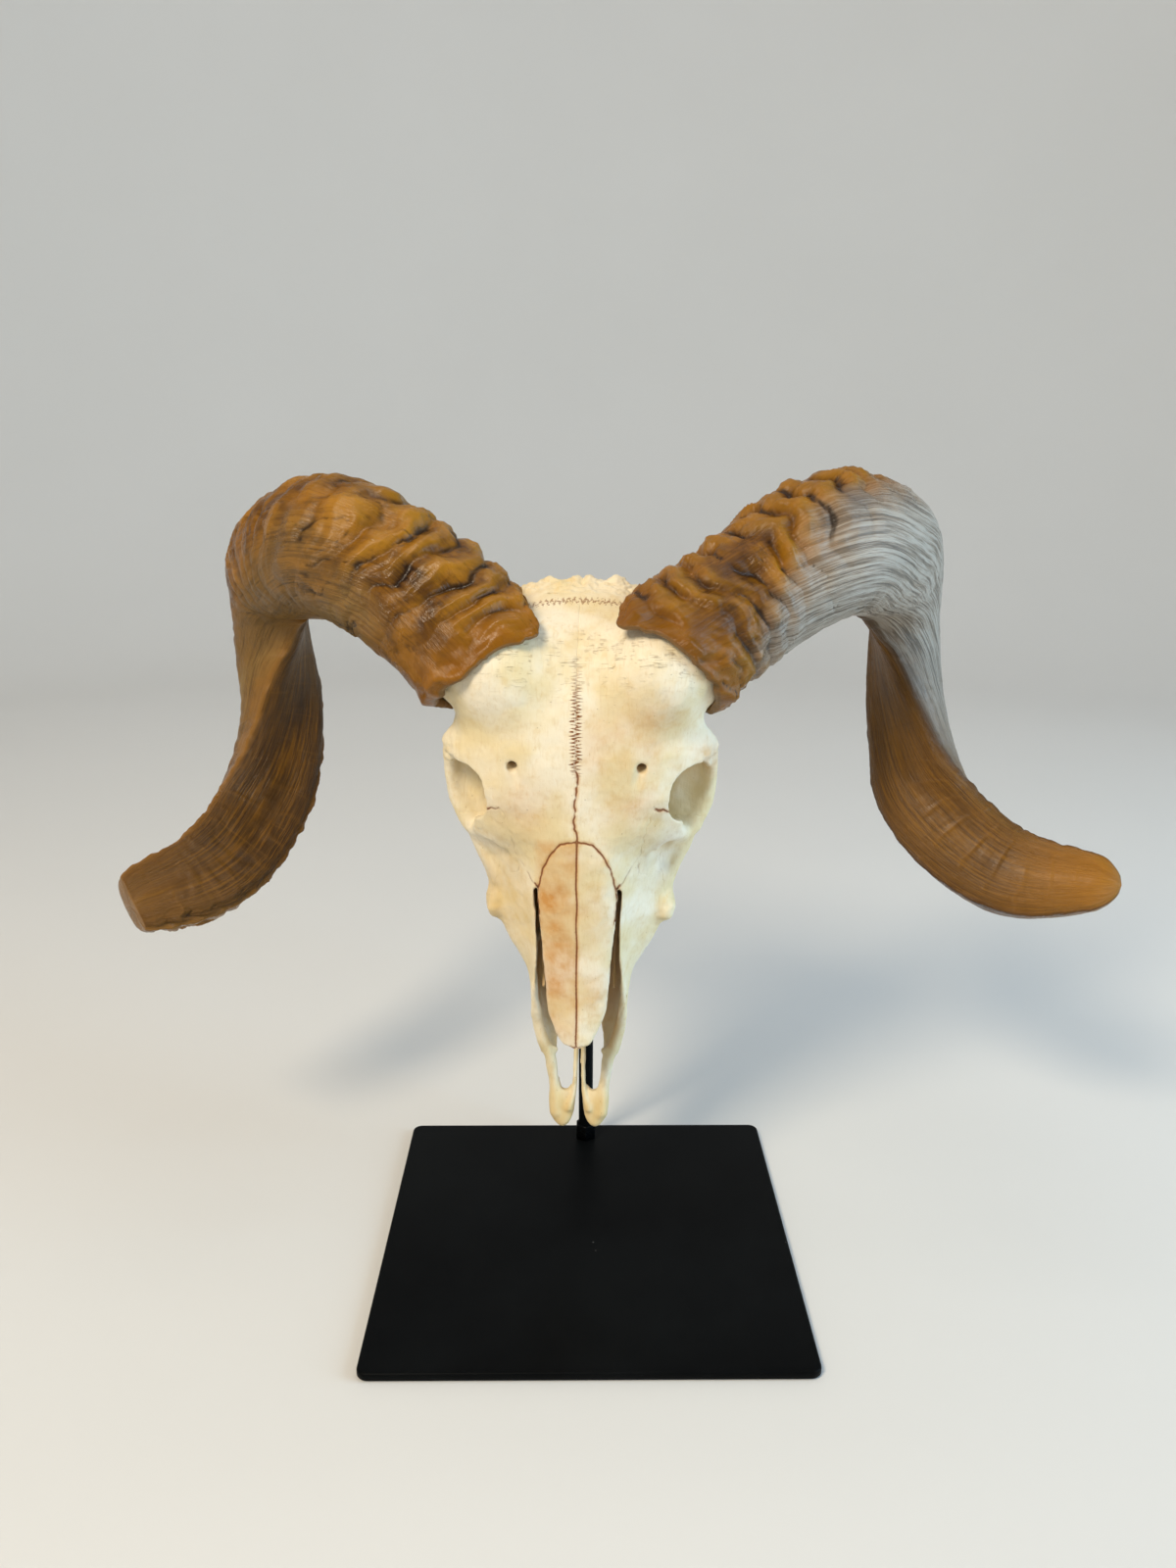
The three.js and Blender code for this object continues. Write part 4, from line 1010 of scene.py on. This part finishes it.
def horn(name, material):
    """One horn as a closed mesh: a ridged sheath with a ragged open rim round the bone's stem."""
    side = SIDES[name]
    at, along, (tangent, across, outward), breadth, depth = horn_path(name, side)
    length, count, widest = along[-1], len(at), 30
    around = int(2 * math.pi * widest / HORN_CELL)
    angle = np.linspace(0, 2 * math.pi, around, endpoint=False)
    c, v = np.cos(angle)[None, :], np.sin(angle)[None, :]
    u = along[:, None]
    part = u / length
    late = unit((part - 0.27) / 0.12)  # past the bend the flat side's edges are keels
    full = hump(u, 24.0) * unit(-side * c)  # the corner next to the other horn is blunt
    round_c = np.sign(c) * np.abs(c) ** (0.85 - 0.2 * late * (v < 0) - 0.2 * full)
    down = -0.7 * np.abs(v) ** (0.6 - 0.15 * late) + 0.14 * late * hump(c, 0.6)
    height = np.where(v > 0, np.abs(v) ** (0.9 - 0.4 * full), down)

    girth = 26  # the grain runs as on a straight horn of this radius
    grain = np.stack(np.broadcast_arrays(u, girth * c, girth * v), -1)
    ring = grain.reshape(-1, 3) @ np.array([[1, 0, 0], [0, 0.8, 0.6], [0, -0.6, 0.8]])
    ring = ring + 1.6 * np.stack([fractal(ring / 7.0, 2, 300 + 9 * k) for k in range(3)], 1)

    def lumps(scale, offset, octaves=2):
        seed = 100 if side > 0 else 200
        return fractal(ring / scale, octaves, seed + offset).reshape(count, around)

    rim = c * -side  # +1 on the edge next to the other horn, -1 on the far one
    stand, fields = horn_relief(side, along, c, v, late, rim, lumps)
    fields.update(horn_weights(side, part, rim, fields["inner"], lumps((60, 30, 30), 41)))

    # the end: sawn off flat and blunt on the left, worn round on the right
    ending = unit((length - u) / (5.0 if side < 0 else 14.0))
    close_in = np.sqrt(np.clip(1 - (1 - ending) ** 2, 0.0, 1)) if side > 0 else 0.9 + 0.1 * np.sqrt(ending)

    # the open end: ragged, leaning, and rounded off at the corner next to the other horn
    drawn_in = (5.5 if side > 0 else 9.5) * hump(u, 16.0) * unit(rim) ** 2
    wide = (breadth * round_c + stand * np.sign(c) * np.abs(c) ** 0.9 + side * drawn_in) * close_in
    tall = (depth * height + stand * np.where(v > 0, v, -np.abs(v) ** 0.6)) * close_in
    ragged = 2.4 * lumps((1e4, 9, 9), 29) + 0.6 * lumps((1e4, 2.6, 2.6), 31)
    ragged = ragged * np.exp(-u / 7.0)
    leaning = SLANT * wide * -side / breadth + FORWARD * np.maximum(tall, 0) / depth
    lobe = 7.5 * np.exp(-((rim - 0.45) / 0.34) ** 2 - u / 18.0) * unit(v * 2 + 1)
    inward, corner = np.clip(-side * wide, 0, None), 16.0
    turn = unit((inward - inward.max(1, keepdims=True)) / corner + 1)
    lobe = lobe - corner * (1 - np.sqrt(1 - turn ** 2)) * np.exp(-u / 20.0)
    slide = ragged - leaning * np.exp(-u / REACH) - lobe
    points = (at[:, None, :] + across[:, None, :] * wide[..., None] + outward[:, None, :] * tall[..., None]
              + tangent[:, None, :] * slide[..., None])

    # the rim turns in round the stem and runs back inside the sheath
    turned_in = [(0.985, -0.9), (0.95, -1.4), (0.905, -1.2), (0.875, -0.2), (0.86, 2.0), (0.84, 6.0),
                 (0.5, 6.5), (0.1, 6.5)]  # share of the rim's size, and how far back
    inside = [at[0] + (points[0] - at[0]) * share + tangent[0] * back for share, back in turned_in[::-1]]

    # the end is closed by rings drawn in to its middle
    last, axis = points[-1], tangent[-1]
    tip = last.mean(0)
    sawn = 0.35 * lumps((1e4, 6, 6), 37)[-1][:, None] * axis
    caps = [last + (tip - last) * 0.03 + axis * 0.35]
    caps += [last + (tip - last) * share + axis * 0.5 + sawn * (1 - share)
             for share in (0.2, 0.45, 0.7, 0.93)]
    attributes = horn_values(fields, grain, len(inside), len(caps))
    return stack(f"horn_{name}", [*inside, *points, *caps], material, attributes)


def horn_weights(side, part, rim, inner, patch):
    """Where along and round a horn its colours change, from 0 to 1."""
    def between(value, low, high):
        return unit((value - low) / (high - low))

    if side > 0:
        flank = between(part - 0.12 * rim + 0.04 * patch, 0.16, 0.27) * between(part, 0.86, 0.66)
        pale = flank * between(part, 0.7, 0.5)
    else:
        flank = between(part - 0.12 * rim + 0.05 * patch, 0.2, 0.34) * between(part, 0.8, 0.55)
        flank = flank * between(-rim + 0.3 * patch, -0.15, 0.35)
        pale = flank * between(patch, 0.0, 0.8)
    return {"flank": flank * (1 - inner), "pale": pale * (1 - inner), "tip": between(part, 0.86, 0.98)}


# ---- Materials ----------------------------------------------------------------------------------
def colour(code):
    """Linear RGBA from a hex sRGB code."""
    parts = [int(code[k:k + 2], 16) / 255 for k in (0, 2, 4)]
    return [c / 12.92 if c < 0.04045 else ((c + 0.055) / 1.055) ** 2.4 for c in parts] + [1.0]


class Graph:
    """Short ways to lay out a material's nodes."""

    def __init__(self, name):
        self.material = bpy.data.materials.new(name)
        self.material.use_nodes = True
        self.tree = self.material.node_tree
        self.shader = next(n for n in self.tree.nodes if n.type == "BSDF_PRINCIPLED")

    def node(self, kind, **settings):
        made = self.tree.nodes.new(kind)
        for key, value in settings.items():
            setattr(made, key, value)
        return made

    def feed(self, socket, value):
        if hasattr(value, "links"):
            self.tree.links.new(value, socket)
        else:
            socket.default_value = value

    def attribute(self, name, output="Fac"):
        return self.node("ShaderNodeAttribute", attribute_name=name).outputs[output]

    def split(self, vector):
        made = self.node("ShaderNodeSeparateXYZ")
        self.feed(made.inputs[0], vector)
        return made.outputs

    def stretched(self, vector, factors):
        made = self.node("ShaderNodeVectorMath", operation="MULTIPLY")
        self.feed(made.inputs[0], vector)
        made.inputs[1].default_value = factors
        return made.outputs[0]

    def noise(self, vector, scale, detail, roughness=0.55, distortion=0.0):
        made = self.node("ShaderNodeTexNoise")
        values = {"Vector": vector, "Scale": scale, "Detail": detail, "Roughness": roughness,
                  "Distortion": distortion}
        for key, value in values.items():
            self.feed(made.inputs[key], value)
        return made.outputs["Fac"]

    def cells(self, vector, scale):
        made = self.node("ShaderNodeTexVoronoi")
        self.feed(made.inputs["Vector"], vector)
        made.inputs["Scale"].default_value = scale
        return made.outputs["Distance"]

    def math(self, operation, a, b=0.0, clamp=False):
        made = self.node("ShaderNodeMath", operation=operation, use_clamp=clamp)
        self.feed(made.inputs[0], a)
        self.feed(made.inputs[1], b)
        return made.outputs[0]

    def times(self, a, b, clamp=False):
        return self.math("MULTIPLY", a, b, clamp)

    def plus(self, a, b):
        return self.math("ADD", a, b)

    def minus(self, a, b):
        return self.math("SUBTRACT", a, b)

    def ramp(self, value, low, high, to_low=0.0, to_high=1.0):
        """Maps low..high onto to_low..to_high with soft ends."""
        made = self.node("ShaderNodeMapRange", interpolation_type="SMOOTHSTEP")
        self.feed(made.inputs["Value"], value)
        for key, number in (("From Min", low), ("From Max", high), ("To Min", to_low), ("To Max", to_high)):
            made.inputs[key].default_value = number
        return made.outputs["Result"]

    def mix(self, factor, a, b):
        made = self.node("ShaderNodeMix", data_type="RGBA")
        self.feed(made.inputs["Factor"], factor)
        self.feed(made.inputs["A"], a)
        self.feed(made.inputs["B"], b)
        return made.outputs["Result"]

    def paint(self, base, layers):
        """Lays colours over a base, each by its factor and strength."""
        for factor, strength, code in layers:
            base = self.mix(self.times(factor, strength), base, colour(code))
        return base

    def bump(self, height, distance, strength=1.0):
        made = self.node("ShaderNodeBump")
        self.feed(made.inputs["Height"], height)
        made.inputs["Distance"].default_value = distance
        made.inputs["Strength"].default_value = strength
        return made.outputs["Normal"]

    def finish(self, base, roughness, normal, specular=0.5):
        self.feed(self.shader.inputs["Base Color"], base)
        self.feed(self.shader.inputs["Roughness"], roughness)
        self.feed(self.shader.inputs["Normal"], normal)
        self.shader.inputs["Specular IOR Level"].default_value = specular
        return self.material


def interlocking(g, place):
    """The middle suture's fine zigzag on the brow, as a line from 0 to 1."""
    x, _, s = g.split(place)
    shift = g.noise(g.stretched(place, (0.0, 0.0, 0.9)), 1.0, 2.0)
    swing = g.math("PINGPONG", g.plus(s, g.times(shift, 2.4)), 0.75)
    swing = g.minus(g.times(swing, 2.0 / 0.75), 1.0)
    reach = g.ramp(g.noise(g.stretched(place, (0.0, 0.0, 0.45)), 1.0, 2.0), 0.3, 0.7, 1.1, 2.3)
    off = g.math("ABSOLUTE", g.minus(x, g.times(swing, reach)))
    line = g.ramp(off, 0.6, 1.7, 1.0, 0.0)
    return g.times(line, g.ramp(g.noise(place, 0.7, 3.0), 0.32, 0.5, 0.25, 1.0))


def dotted_line(g, place):
    """The faint stitched suture across the crown, as a line from 0 to 1."""
    x, d, s = g.split(place)
    swing = g.math("PINGPONG", g.plus(x, g.times(g.noise(place, 0.5, 2.0), 3.0)), 1.3)
    swing = g.times(swing, 2.2)
    bow = g.times(g.times(x, x), 0.005)
    level = g.minus(g.minus(s, 244.6), g.minus(swing, bow))
    line = g.ramp(g.math("ABSOLUTE", level), 0.7, 1.5, 1.0, 0.0)
    line = g.times(line, g.ramp(g.noise(place, 0.8, 2.0), 0.4, 0.54))
    return g.times(line, g.ramp(d, 62.0, 66.0))


def bone_material():
    g = Graph("bone")
    place = g.attribute("place", "Vector")
    seam, depth = g.attribute("seam"), g.attribute("depth")
    hollow, basin = g.attribute("hollow"), g.attribute("basin")
    peach, pit_shade, yellow = (g.attribute(key) for key in ("peach", "pit_shade", "yellow"))
    broad = g.noise(place, 0.035, 4.0)
    mid = g.noise(place, 0.16, 4.0, 0.6)
    fine = g.noise(place, 1.3, 3.0, 0.65)
    fibre = g.noise(g.stretched(place, (0.9, 0.5, 0.11)), 1.0, 3.0)
    pits = g.cells(place, 0.42)
    base = g.mix(g.ramp(broad, 0.35, 0.65), colour("e4d3a8"), colour("f0e6cf"))
    # painted shade: darker brown where bone closes round a point, in pits and creases, made patchy by noise
    hollow_shade = g.times(g.ramp(hollow, 0.56, 0.74), g.ramp(mid, 0.25, 0.7, 0.4, 1.0))
    off = g.plus(g.math("ABSOLUTE", seam), g.times(g.noise(place, 1.1, 3.0), 0.5))
    suture = g.attribute("suture")
    line = g.times(g.ramp(off, 0.42, 0.9, 1.0, 0.0), g.ramp(suture, 0.05, 0.6))
    halo = g.times(g.ramp(off, 0.6, 2.1, 0.5, 0.0), g.ramp(suture, 0.2, 0.9))
    threads = g.noise(g.stretched(place, (0.05, 0.12, 0.8)), 1.0, 3.0, 0.55, 0.25)
    threads = g.ramp(g.math("ABSOLUTE", g.minus(threads, 0.5)), 0.004, 0.022, 1.0, 0.0)
    threads = g.times(threads, g.ramp(g.noise(place, 0.22, 2.0), 0.48, 0.6))
    threads = g.times(threads, g.attribute("brow"))
    stitches = g.times(interlocking(g, place), g.attribute("zigzag"))
    speck = g.times(g.ramp(pits, 0.05, 0.16, 1.0, 0.0), g.ramp(g.noise(place, 0.3, 2.0), 0.52, 0.68))
    blush = g.times(peach, g.ramp(mid, 0.2, 0.75, 0.55, 1.15), True)
    layers = [
        (g.ramp(mid, 0.5, 0.75), 0.45, "d9bf88"),
        (g.ramp(fibre, 0.5, 0.8), 0.3, "cdae74"),
        (blush, 0.95, "c98d45"),
        # painted shade in the pits in front of the eyes
        (pit_shade, 0.85, "9b8f88"),
        (yellow, 0.75, "dcc084"),
        # painted shade: darker tan the deeper a surface lies below the outer skin, as inside the nose and eye
        # sockets
        (g.ramp(depth, 1.6, 5.0), 0.65, "c99f62"),
        # painted shade: darker brown in broad hollows such as the eye sockets
        (g.ramp(basin, 0.62, 0.9), 0.5, "a87840"),
        # painted shade in small hollows
        (hollow_shade, 0.55, "b08a52"),
        (halo, 1.0, "c89252"),
        (speck, 0.55, "8d6a41"),
        (stitches, 1.0, "80481a"),
        (dotted_line(g, place), 0.8, "8a5a2a"),
        (threads, 0.3, "a07a48"),
        (line, 0.9, "7c4115"),
    ]
    relief = g.plus(g.times(fine, 0.5), g.times(fibre, 0.7))
    relief = g.minus(relief, g.times(speck, 0.8))
    relief = g.minus(relief, g.times(stitches, 0.6))
    relief = g.minus(relief, g.times(threads, 0.9))
    grains = g.times(g.noise(place, 0.9, 3.0, 0.7), g.attribute("coarse"))
    relief = g.plus(relief, g.times(grains, 4.0))
    normal = g.bump(relief, 0.00022, 0.9)
    rough = g.ramp(mid, 0.2, 0.8, 0.44, 0.62)
    return g.finish(g.paint(base, layers), rough, normal, 0.3)


def tooth_material():
    g = Graph("tooth")
    place, root = g.attribute("place", "Vector"), g.attribute("root")
    mid = g.noise(place, 0.25, 4.0)
    streaks = g.noise(g.stretched(place, (1.4, 0.12, 1.4)), 1.0, 3.0)
    base = g.mix(g.ramp(mid, 0.3, 0.7), colour("dccfae"), colour("c7b186"))
    layers = [
        (g.ramp(streaks, 0.5, 0.72), 0.6, "8f7145"),
        (g.ramp(mid, 0.55, 0.7), 0.5, "5f4526"),
        (root, 0.4, "b3935c"),
    ]
    return g.finish(g.paint(base, layers), g.ramp(mid, 0.2, 0.8, 0.25, 0.42), g.bump(streaks, 0.00025), 0.5)


# crest: lighter amber painted on the ridge tops as highlight
# groove: near-black painted in the grooves and cracks as shade, also used for fine dark threads
HORN_COLOURS = {
    "left": dict(base="6e430b", light="9c6a18", dark="35200a", crest="ac781e", groove="170c05",
                 flank="7a5e34", pale="907848", streak="4a3a22", inner="49341a", edge="8c6228",
                 collar="925c0c", tip="744c14", end="866232", cut="7a5a34"),
    "right": dict(base="6a3f0a", light="986616", dark="3a220a", crest="a6741c", groove="1a0e05",
                  flank="857a6c", pale="b0a89c", streak="54514b", inner="68471c", edge="4c3010",
                  collar="825007", tip="b87c26", end="b88434", cut="7a5a34"),
}


def horn_material(name):
    g = Graph(f"horn_{name}")
    shade = HORN_COLOURS[name]
    grain = g.attribute("grain", "Vector")
    keys = ("groove", "crest", "keel", "step", "inner", "base", "flank", "pale", "tip", "cut", "sawn")
    w = {key: g.attribute(key) for key in keys}
    fibre = g.noise(g.stretched(grain, (0.035, 1.0, 1.0)), 1.0, 4.0, 0.6)
    thread = g.noise(g.stretched(grain, (0.09, 3.0, 3.0)), 1.0, 3.0, 0.6)
    patch = g.noise(grain, 0.055, 4.0, 0.6, 0.6)
    bands = g.noise(g.stretched(grain, (0.5, 0.03, 0.03)), 1.0, 3.0, 0.5)
    base = g.mix(g.ramp(patch, 0.3, 0.7), colour(shade["dark"]), colour(shade["light"]))
    base = g.mix(0.3, base, colour(shade["base"]))
    blotch = g.ramp(g.noise(grain, 0.13, 4.0, 0.65, 0.4), 0.52, 0.68)
    layers = [
        (blotch, 0.6, "dark"),
        (g.ramp(fibre, 0.45, 0.7), 0.22, "light"),
        (g.ramp(fibre, 0.5, 0.3), 0.3, "dark"),
        # painted highlight: lighter amber on the ridge tops
        (g.ramp(w["crest"], 0.25, 1.0), 0.5, "crest"),
        (w["base"], 0.65, "collar"),
        (w["flank"], 0.85, "flank"),
        (g.times(w["pale"], g.ramp(fibre, 0.4, 0.6, 0.1, 0.95)), 1.0, "pale"),
        (g.times(w["flank"], g.ramp(fibre, 0.48, 0.34)), 0.65, "streak"),
        (g.times(w["flank"], g.ramp(thread, 0.52, 0.7)), 0.45, "dark"),
        # the flat side past the bend turns darker brown, partly its own colour and partly painted shade
        (w["inner"], 0.88, "inner"),
        (g.times(w["inner"], g.ramp(fibre, 0.46, 0.66)), 0.35, "light"),
        (g.times(w["inner"], g.ramp(fibre, 0.5, 0.34)), 0.45, "dark"),
        (g.times(w["inner"], g.ramp(bands, 0.56, 0.7)), 0.2, "edge"),
        # painted highlight: a little lighter on the raised steps across the flat side
        (w["step"], 0.15, "light"),
        (w["tip"], 0.6, "tip"),
        (w["keel"], 0.8, "edge"),
        # painted shade: near-black in the grooves between ridges and in the cracks
        (g.ramp(w["groove"], 0.15, 0.9), 0.85, "groove"),
        (g.ramp(thread, 0.6, 0.75), 0.25, "groove"),
        (w["sawn"], 1.0, "end"),
        (w["cut"], 1.0, "cut"),
    ]
    base = g.paint(base, [(factor, strength, shade[key]) for factor, strength, key in layers])
    height = g.plus(fibre, g.times(thread, 0.5))
    normal = g.bump(height, 0.0007, 0.8)
    rough = g.plus(g.ramp(patch, 0.3, 0.7, 0.17, 0.3), g.times(w["inner"], 0.14))
    rough = g.plus(rough, g.times(w["flank"], 0.12))
    return g.finish(base, rough, normal, 0.25)


def steel_material(name, low, high):
    g = Graph(name)
    place = g.node("ShaderNodeTexCoord").outputs["Object"]
    haze = g.noise(place, 9.0, 4.0, 0.6)
    grit = g.noise(place, 1400.0, 2.0, 0.5)
    dust = g.times(g.ramp(g.cells(place, 90.0), 0.02, 0.05, 1.0, 0.0),
                  g.ramp(g.noise(place, 30.0, 1.0), 0.62, 0.7))
    base = g.mix(g.ramp(haze, 0.3, 0.75), colour("060708"), colour("0e1011"))
    base = g.paint(base, [(dust, 0.6, "8d8d88")])
    rough = g.plus(g.ramp(haze, 0.2, 0.8, low, high), g.times(grit, 0.06))
    return g.finish(base, rough, g.bump(grit, 0.00004, 0.5), 0.04)


def plain_material(name, code, roughness):
    g = Graph(name)
    spread = g.noise(g.node("ShaderNodeTexCoord").outputs["Object"], 2.0, 2.0)
    base = g.mix(g.ramp(spread, 0.3, 0.7, 0.0, 0.04), colour(code), colour("ffffff"))
    return g.finish(base, roughness, g.bump(spread, 0.0001, 0.2), 0.2)


# ---- Stand --------------------------------------------------------------------------------------
def rounded_square(half, corner, z):
    """A ring of points round a square with round corners, at height z."""
    per_corner = 10
    points = []
    for n, (x, y) in enumerate(((1, -1), (1, 1), (-1, 1), (-1, -1))):
        for k in range(per_corner + 1):
            a = (n - 1 + k / per_corner) * math.pi / 2
            points.append((x * (half - corner) + corner * math.cos(a),
                           y * (half - corner) + corner * math.sin(a), z))
    return points


def circle(radius, z, n, middle_y=0.0):
    """A ring of n points at height z; the radius is one value, or one for each point."""
    a = np.linspace(0, 2 * math.pi, n, endpoint=False)
    return np.column_stack([radius * np.cos(a), middle_y + radius * np.sin(a), np.full(n, z)])


def base_plate(material):
    """The square plate, a little rounded over its upper edge."""
    edge = 1.1
    half = BASE_SIDE / 2
    profile = [(0.9, 0.0), (0.35, 0.25), (0.0, 0.8)]
    profile += [(edge * (1 - math.cos(a)), BASE_THICK - edge + edge * math.sin(a))
                for a in np.linspace(0, math.pi / 2, 6)]
    profile += [(inset, BASE_THICK) for inset in (edge + 2.0, 40.0, 80.0)]
    rings = [rounded_square(half - inset, max(5.0 - inset, 0.5 + 0.03 * (half - inset)), z)
             for inset, z in profile]
    return stack("stand_plate", rings, material, {})


def rod(material):
    profile = [(3.4, 4.05), (ROD_RADIUS, 4.6)] + [(ROD_RADIUS, z) for z in np.linspace(20, 290, 10)]
    profile += [(ROD_RADIUS, 293.2), (3.3, 293.9)]
    return stack("stand_post", [circle(r, z, 48, ROD_Y) for r, z in profile], material, {})


def nut(material):
    """A hexagonal nut round the rod's foot, its corners taken off by a cone above."""
    n, sixth = 96, math.pi / 3
    a = np.linspace(0, 2 * math.pi, n, endpoint=False)
    hexagon = NUT_CORNER * math.cos(sixth / 2) / np.cos((a + sixth / 2) % sixth - sixth / 2)
    hexagon = np.minimum(hexagon, NUT_CORNER - 0.07)
    outside = ((9, 4.35), (9, 12.2), (5.75, 12.6), (5.4, 12.95), (5.1, 13.15), (4.3, 13.2))
    bore = ((4.15, 12.9), (4.15, 4.5), (4.3, 4.35))
    rings = [circle(np.minimum(hexagon, cone), z, n, ROD_Y) for cone, z in outside]
    rings += [circle(r, z, n, ROD_Y) for r, z in bore]
    quads, no_fans = ring_quads(len(rings), n, closed=True), np.zeros((0, 3), int)
    return closed_object("stand_collar", np.vstack(rings) * MM, quads, no_fans, material, {})


# ---- Stage, lights and camera -------------------------------------------------------------------
def stage():
    """A round pale floor that curves up into a wall all round, well away from the object."""
    n, reach, bend, top, gap = 64, 2.6, 0.9, 2.4, 0.0004
    profile = [(0.5, 0.0), (reach - bend, 0.0)]
    profile += [(reach - bend * (1 - math.sin(t)), bend * (1 - math.cos(t)))
                for t in np.linspace(0, math.pi / 2, 14)[1:]]
    profile += [(reach, top)]
    rings = [circle(r, z - gap, n) for r, z in profile]
    points = np.vstack([*rings, [[0, 0, -gap]]])
    middle = fan(0, n, len(points) - 1, flip=True)
    pale = plain_material("floor", "d8d7d4", 0.8)
    floor = closed_object("floor", points, ring_quads(len(rings), n), middle, pale, {})
    floor.data.flip_normals()


def area_light(name, at, aim, size, power, tint):
    data = bpy.data.lights.new(name, "AREA")
    data.shape = "RECTANGLE"
    data.size, data.size_y = size
    data.energy = power
    data.color = tint
    light = bpy.data.objects.new(name, data)
    light.location = at
    light.rotation_euler = (Vector(aim) - Vector(at)).to_track_quat("-Z", "Y").to_euler()
    bpy.context.scene.collection.objects.link(light)


def lights():
    aim = (0, 0.03, 0.25)
    area_light("key", (-0.8, -1.1, 1.5), aim, (0.55, 0.55), 29, (1.0, 0.86, 0.66))
    area_light("window", (1.6, -0.4, 0.6), aim, (1.0, 1.3), 27, (0.5, 0.76, 1.0))
    area_light("top", (0.1, 0.1, 1.9), aim, (1.6, 1.2), 5, (1.0, 0.98, 0.95))
    area_light("wall", (0.0, 0.9, 2.2), (0.0, 2.6, 0.5), (2.4, 0.6), 9, (1.0, 0.98, 0.96))
    world = bpy.data.worlds.new("studio")
    world.use_nodes = True
    world.node_tree.nodes["Background"].inputs[0].default_value = (0.86, 0.9, 0.95, 1)
    world.node_tree.nodes["Background"].inputs[1].default_value = 0.26
    bpy.context.scene.world = world
    bpy.context.scene.view_settings.view_transform = "Standard"


def camera():
    sy, cy = math.sin(CAMERA_YAW), math.cos(CAMERA_YAW)
    sp, cp = math.sin(CAMERA_PITCH), math.cos(CAMERA_PITCH)
    forward = Vector((sy * cp, cy * cp, -sp))
    level = Vector((cy, -sy, 0))
    above = level.cross(forward)
    sr, cr = math.sin(CAMERA_ROLL), math.cos(CAMERA_ROLL)
    right, up = cr * level + sr * above, cr * above - sr * level
    data = bpy.data.cameras.new("camera")
    data.sensor_fit = "VERTICAL"
    data.sensor_height = 24.0
    data.lens = data.sensor_height * FOCAL_PX / FRAME_HIGH_PX
    eye = bpy.data.objects.new("camera", data)
    turn = Matrix((right, up, -forward)).transposed().to_4x4()
    eye.matrix_world = Matrix.Translation(Vector(CAMERA_AT) * MM) @ turn
    bpy.context.scene.collection.objects.link(eye)
    bpy.context.scene.camera = eye


# ---- Assembly -----------------------------------------------------------------------------------
def take_place(piece, slot, *nodes):
    """Puts a piece on the one body, in the place of its nodes; the slot is not used."""
    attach(piece, "root")
    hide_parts(*nodes)


bone = bone_material()
for node, piece in Skull().build(bone).items():
    take_place(piece, "nasal_bone" if node.startswith("nasal") else "bone", node)
tooth = tooth_material()
for word in SIDES:
    take_place(tooth_row(word, tooth), "bone", f"maxilla_{word}")
    nodes = [f"horn_{word}_{length}" for length in ("base", "bend", "tip")]
    take_place(horn(word, horn_material(word)), "horn", *nodes)
black = steel_material("black_steel", 0.34, 0.46)
glossy = steel_material("nut_steel", 0.16, 0.24)
take_place(base_plate(black), "black_steel", "stand_base")
take_place(rod(black), "black_steel", "stand_rod")
take_place(nut(glossy), "black_steel", "stand_nut")

stage()
lights()
camera()
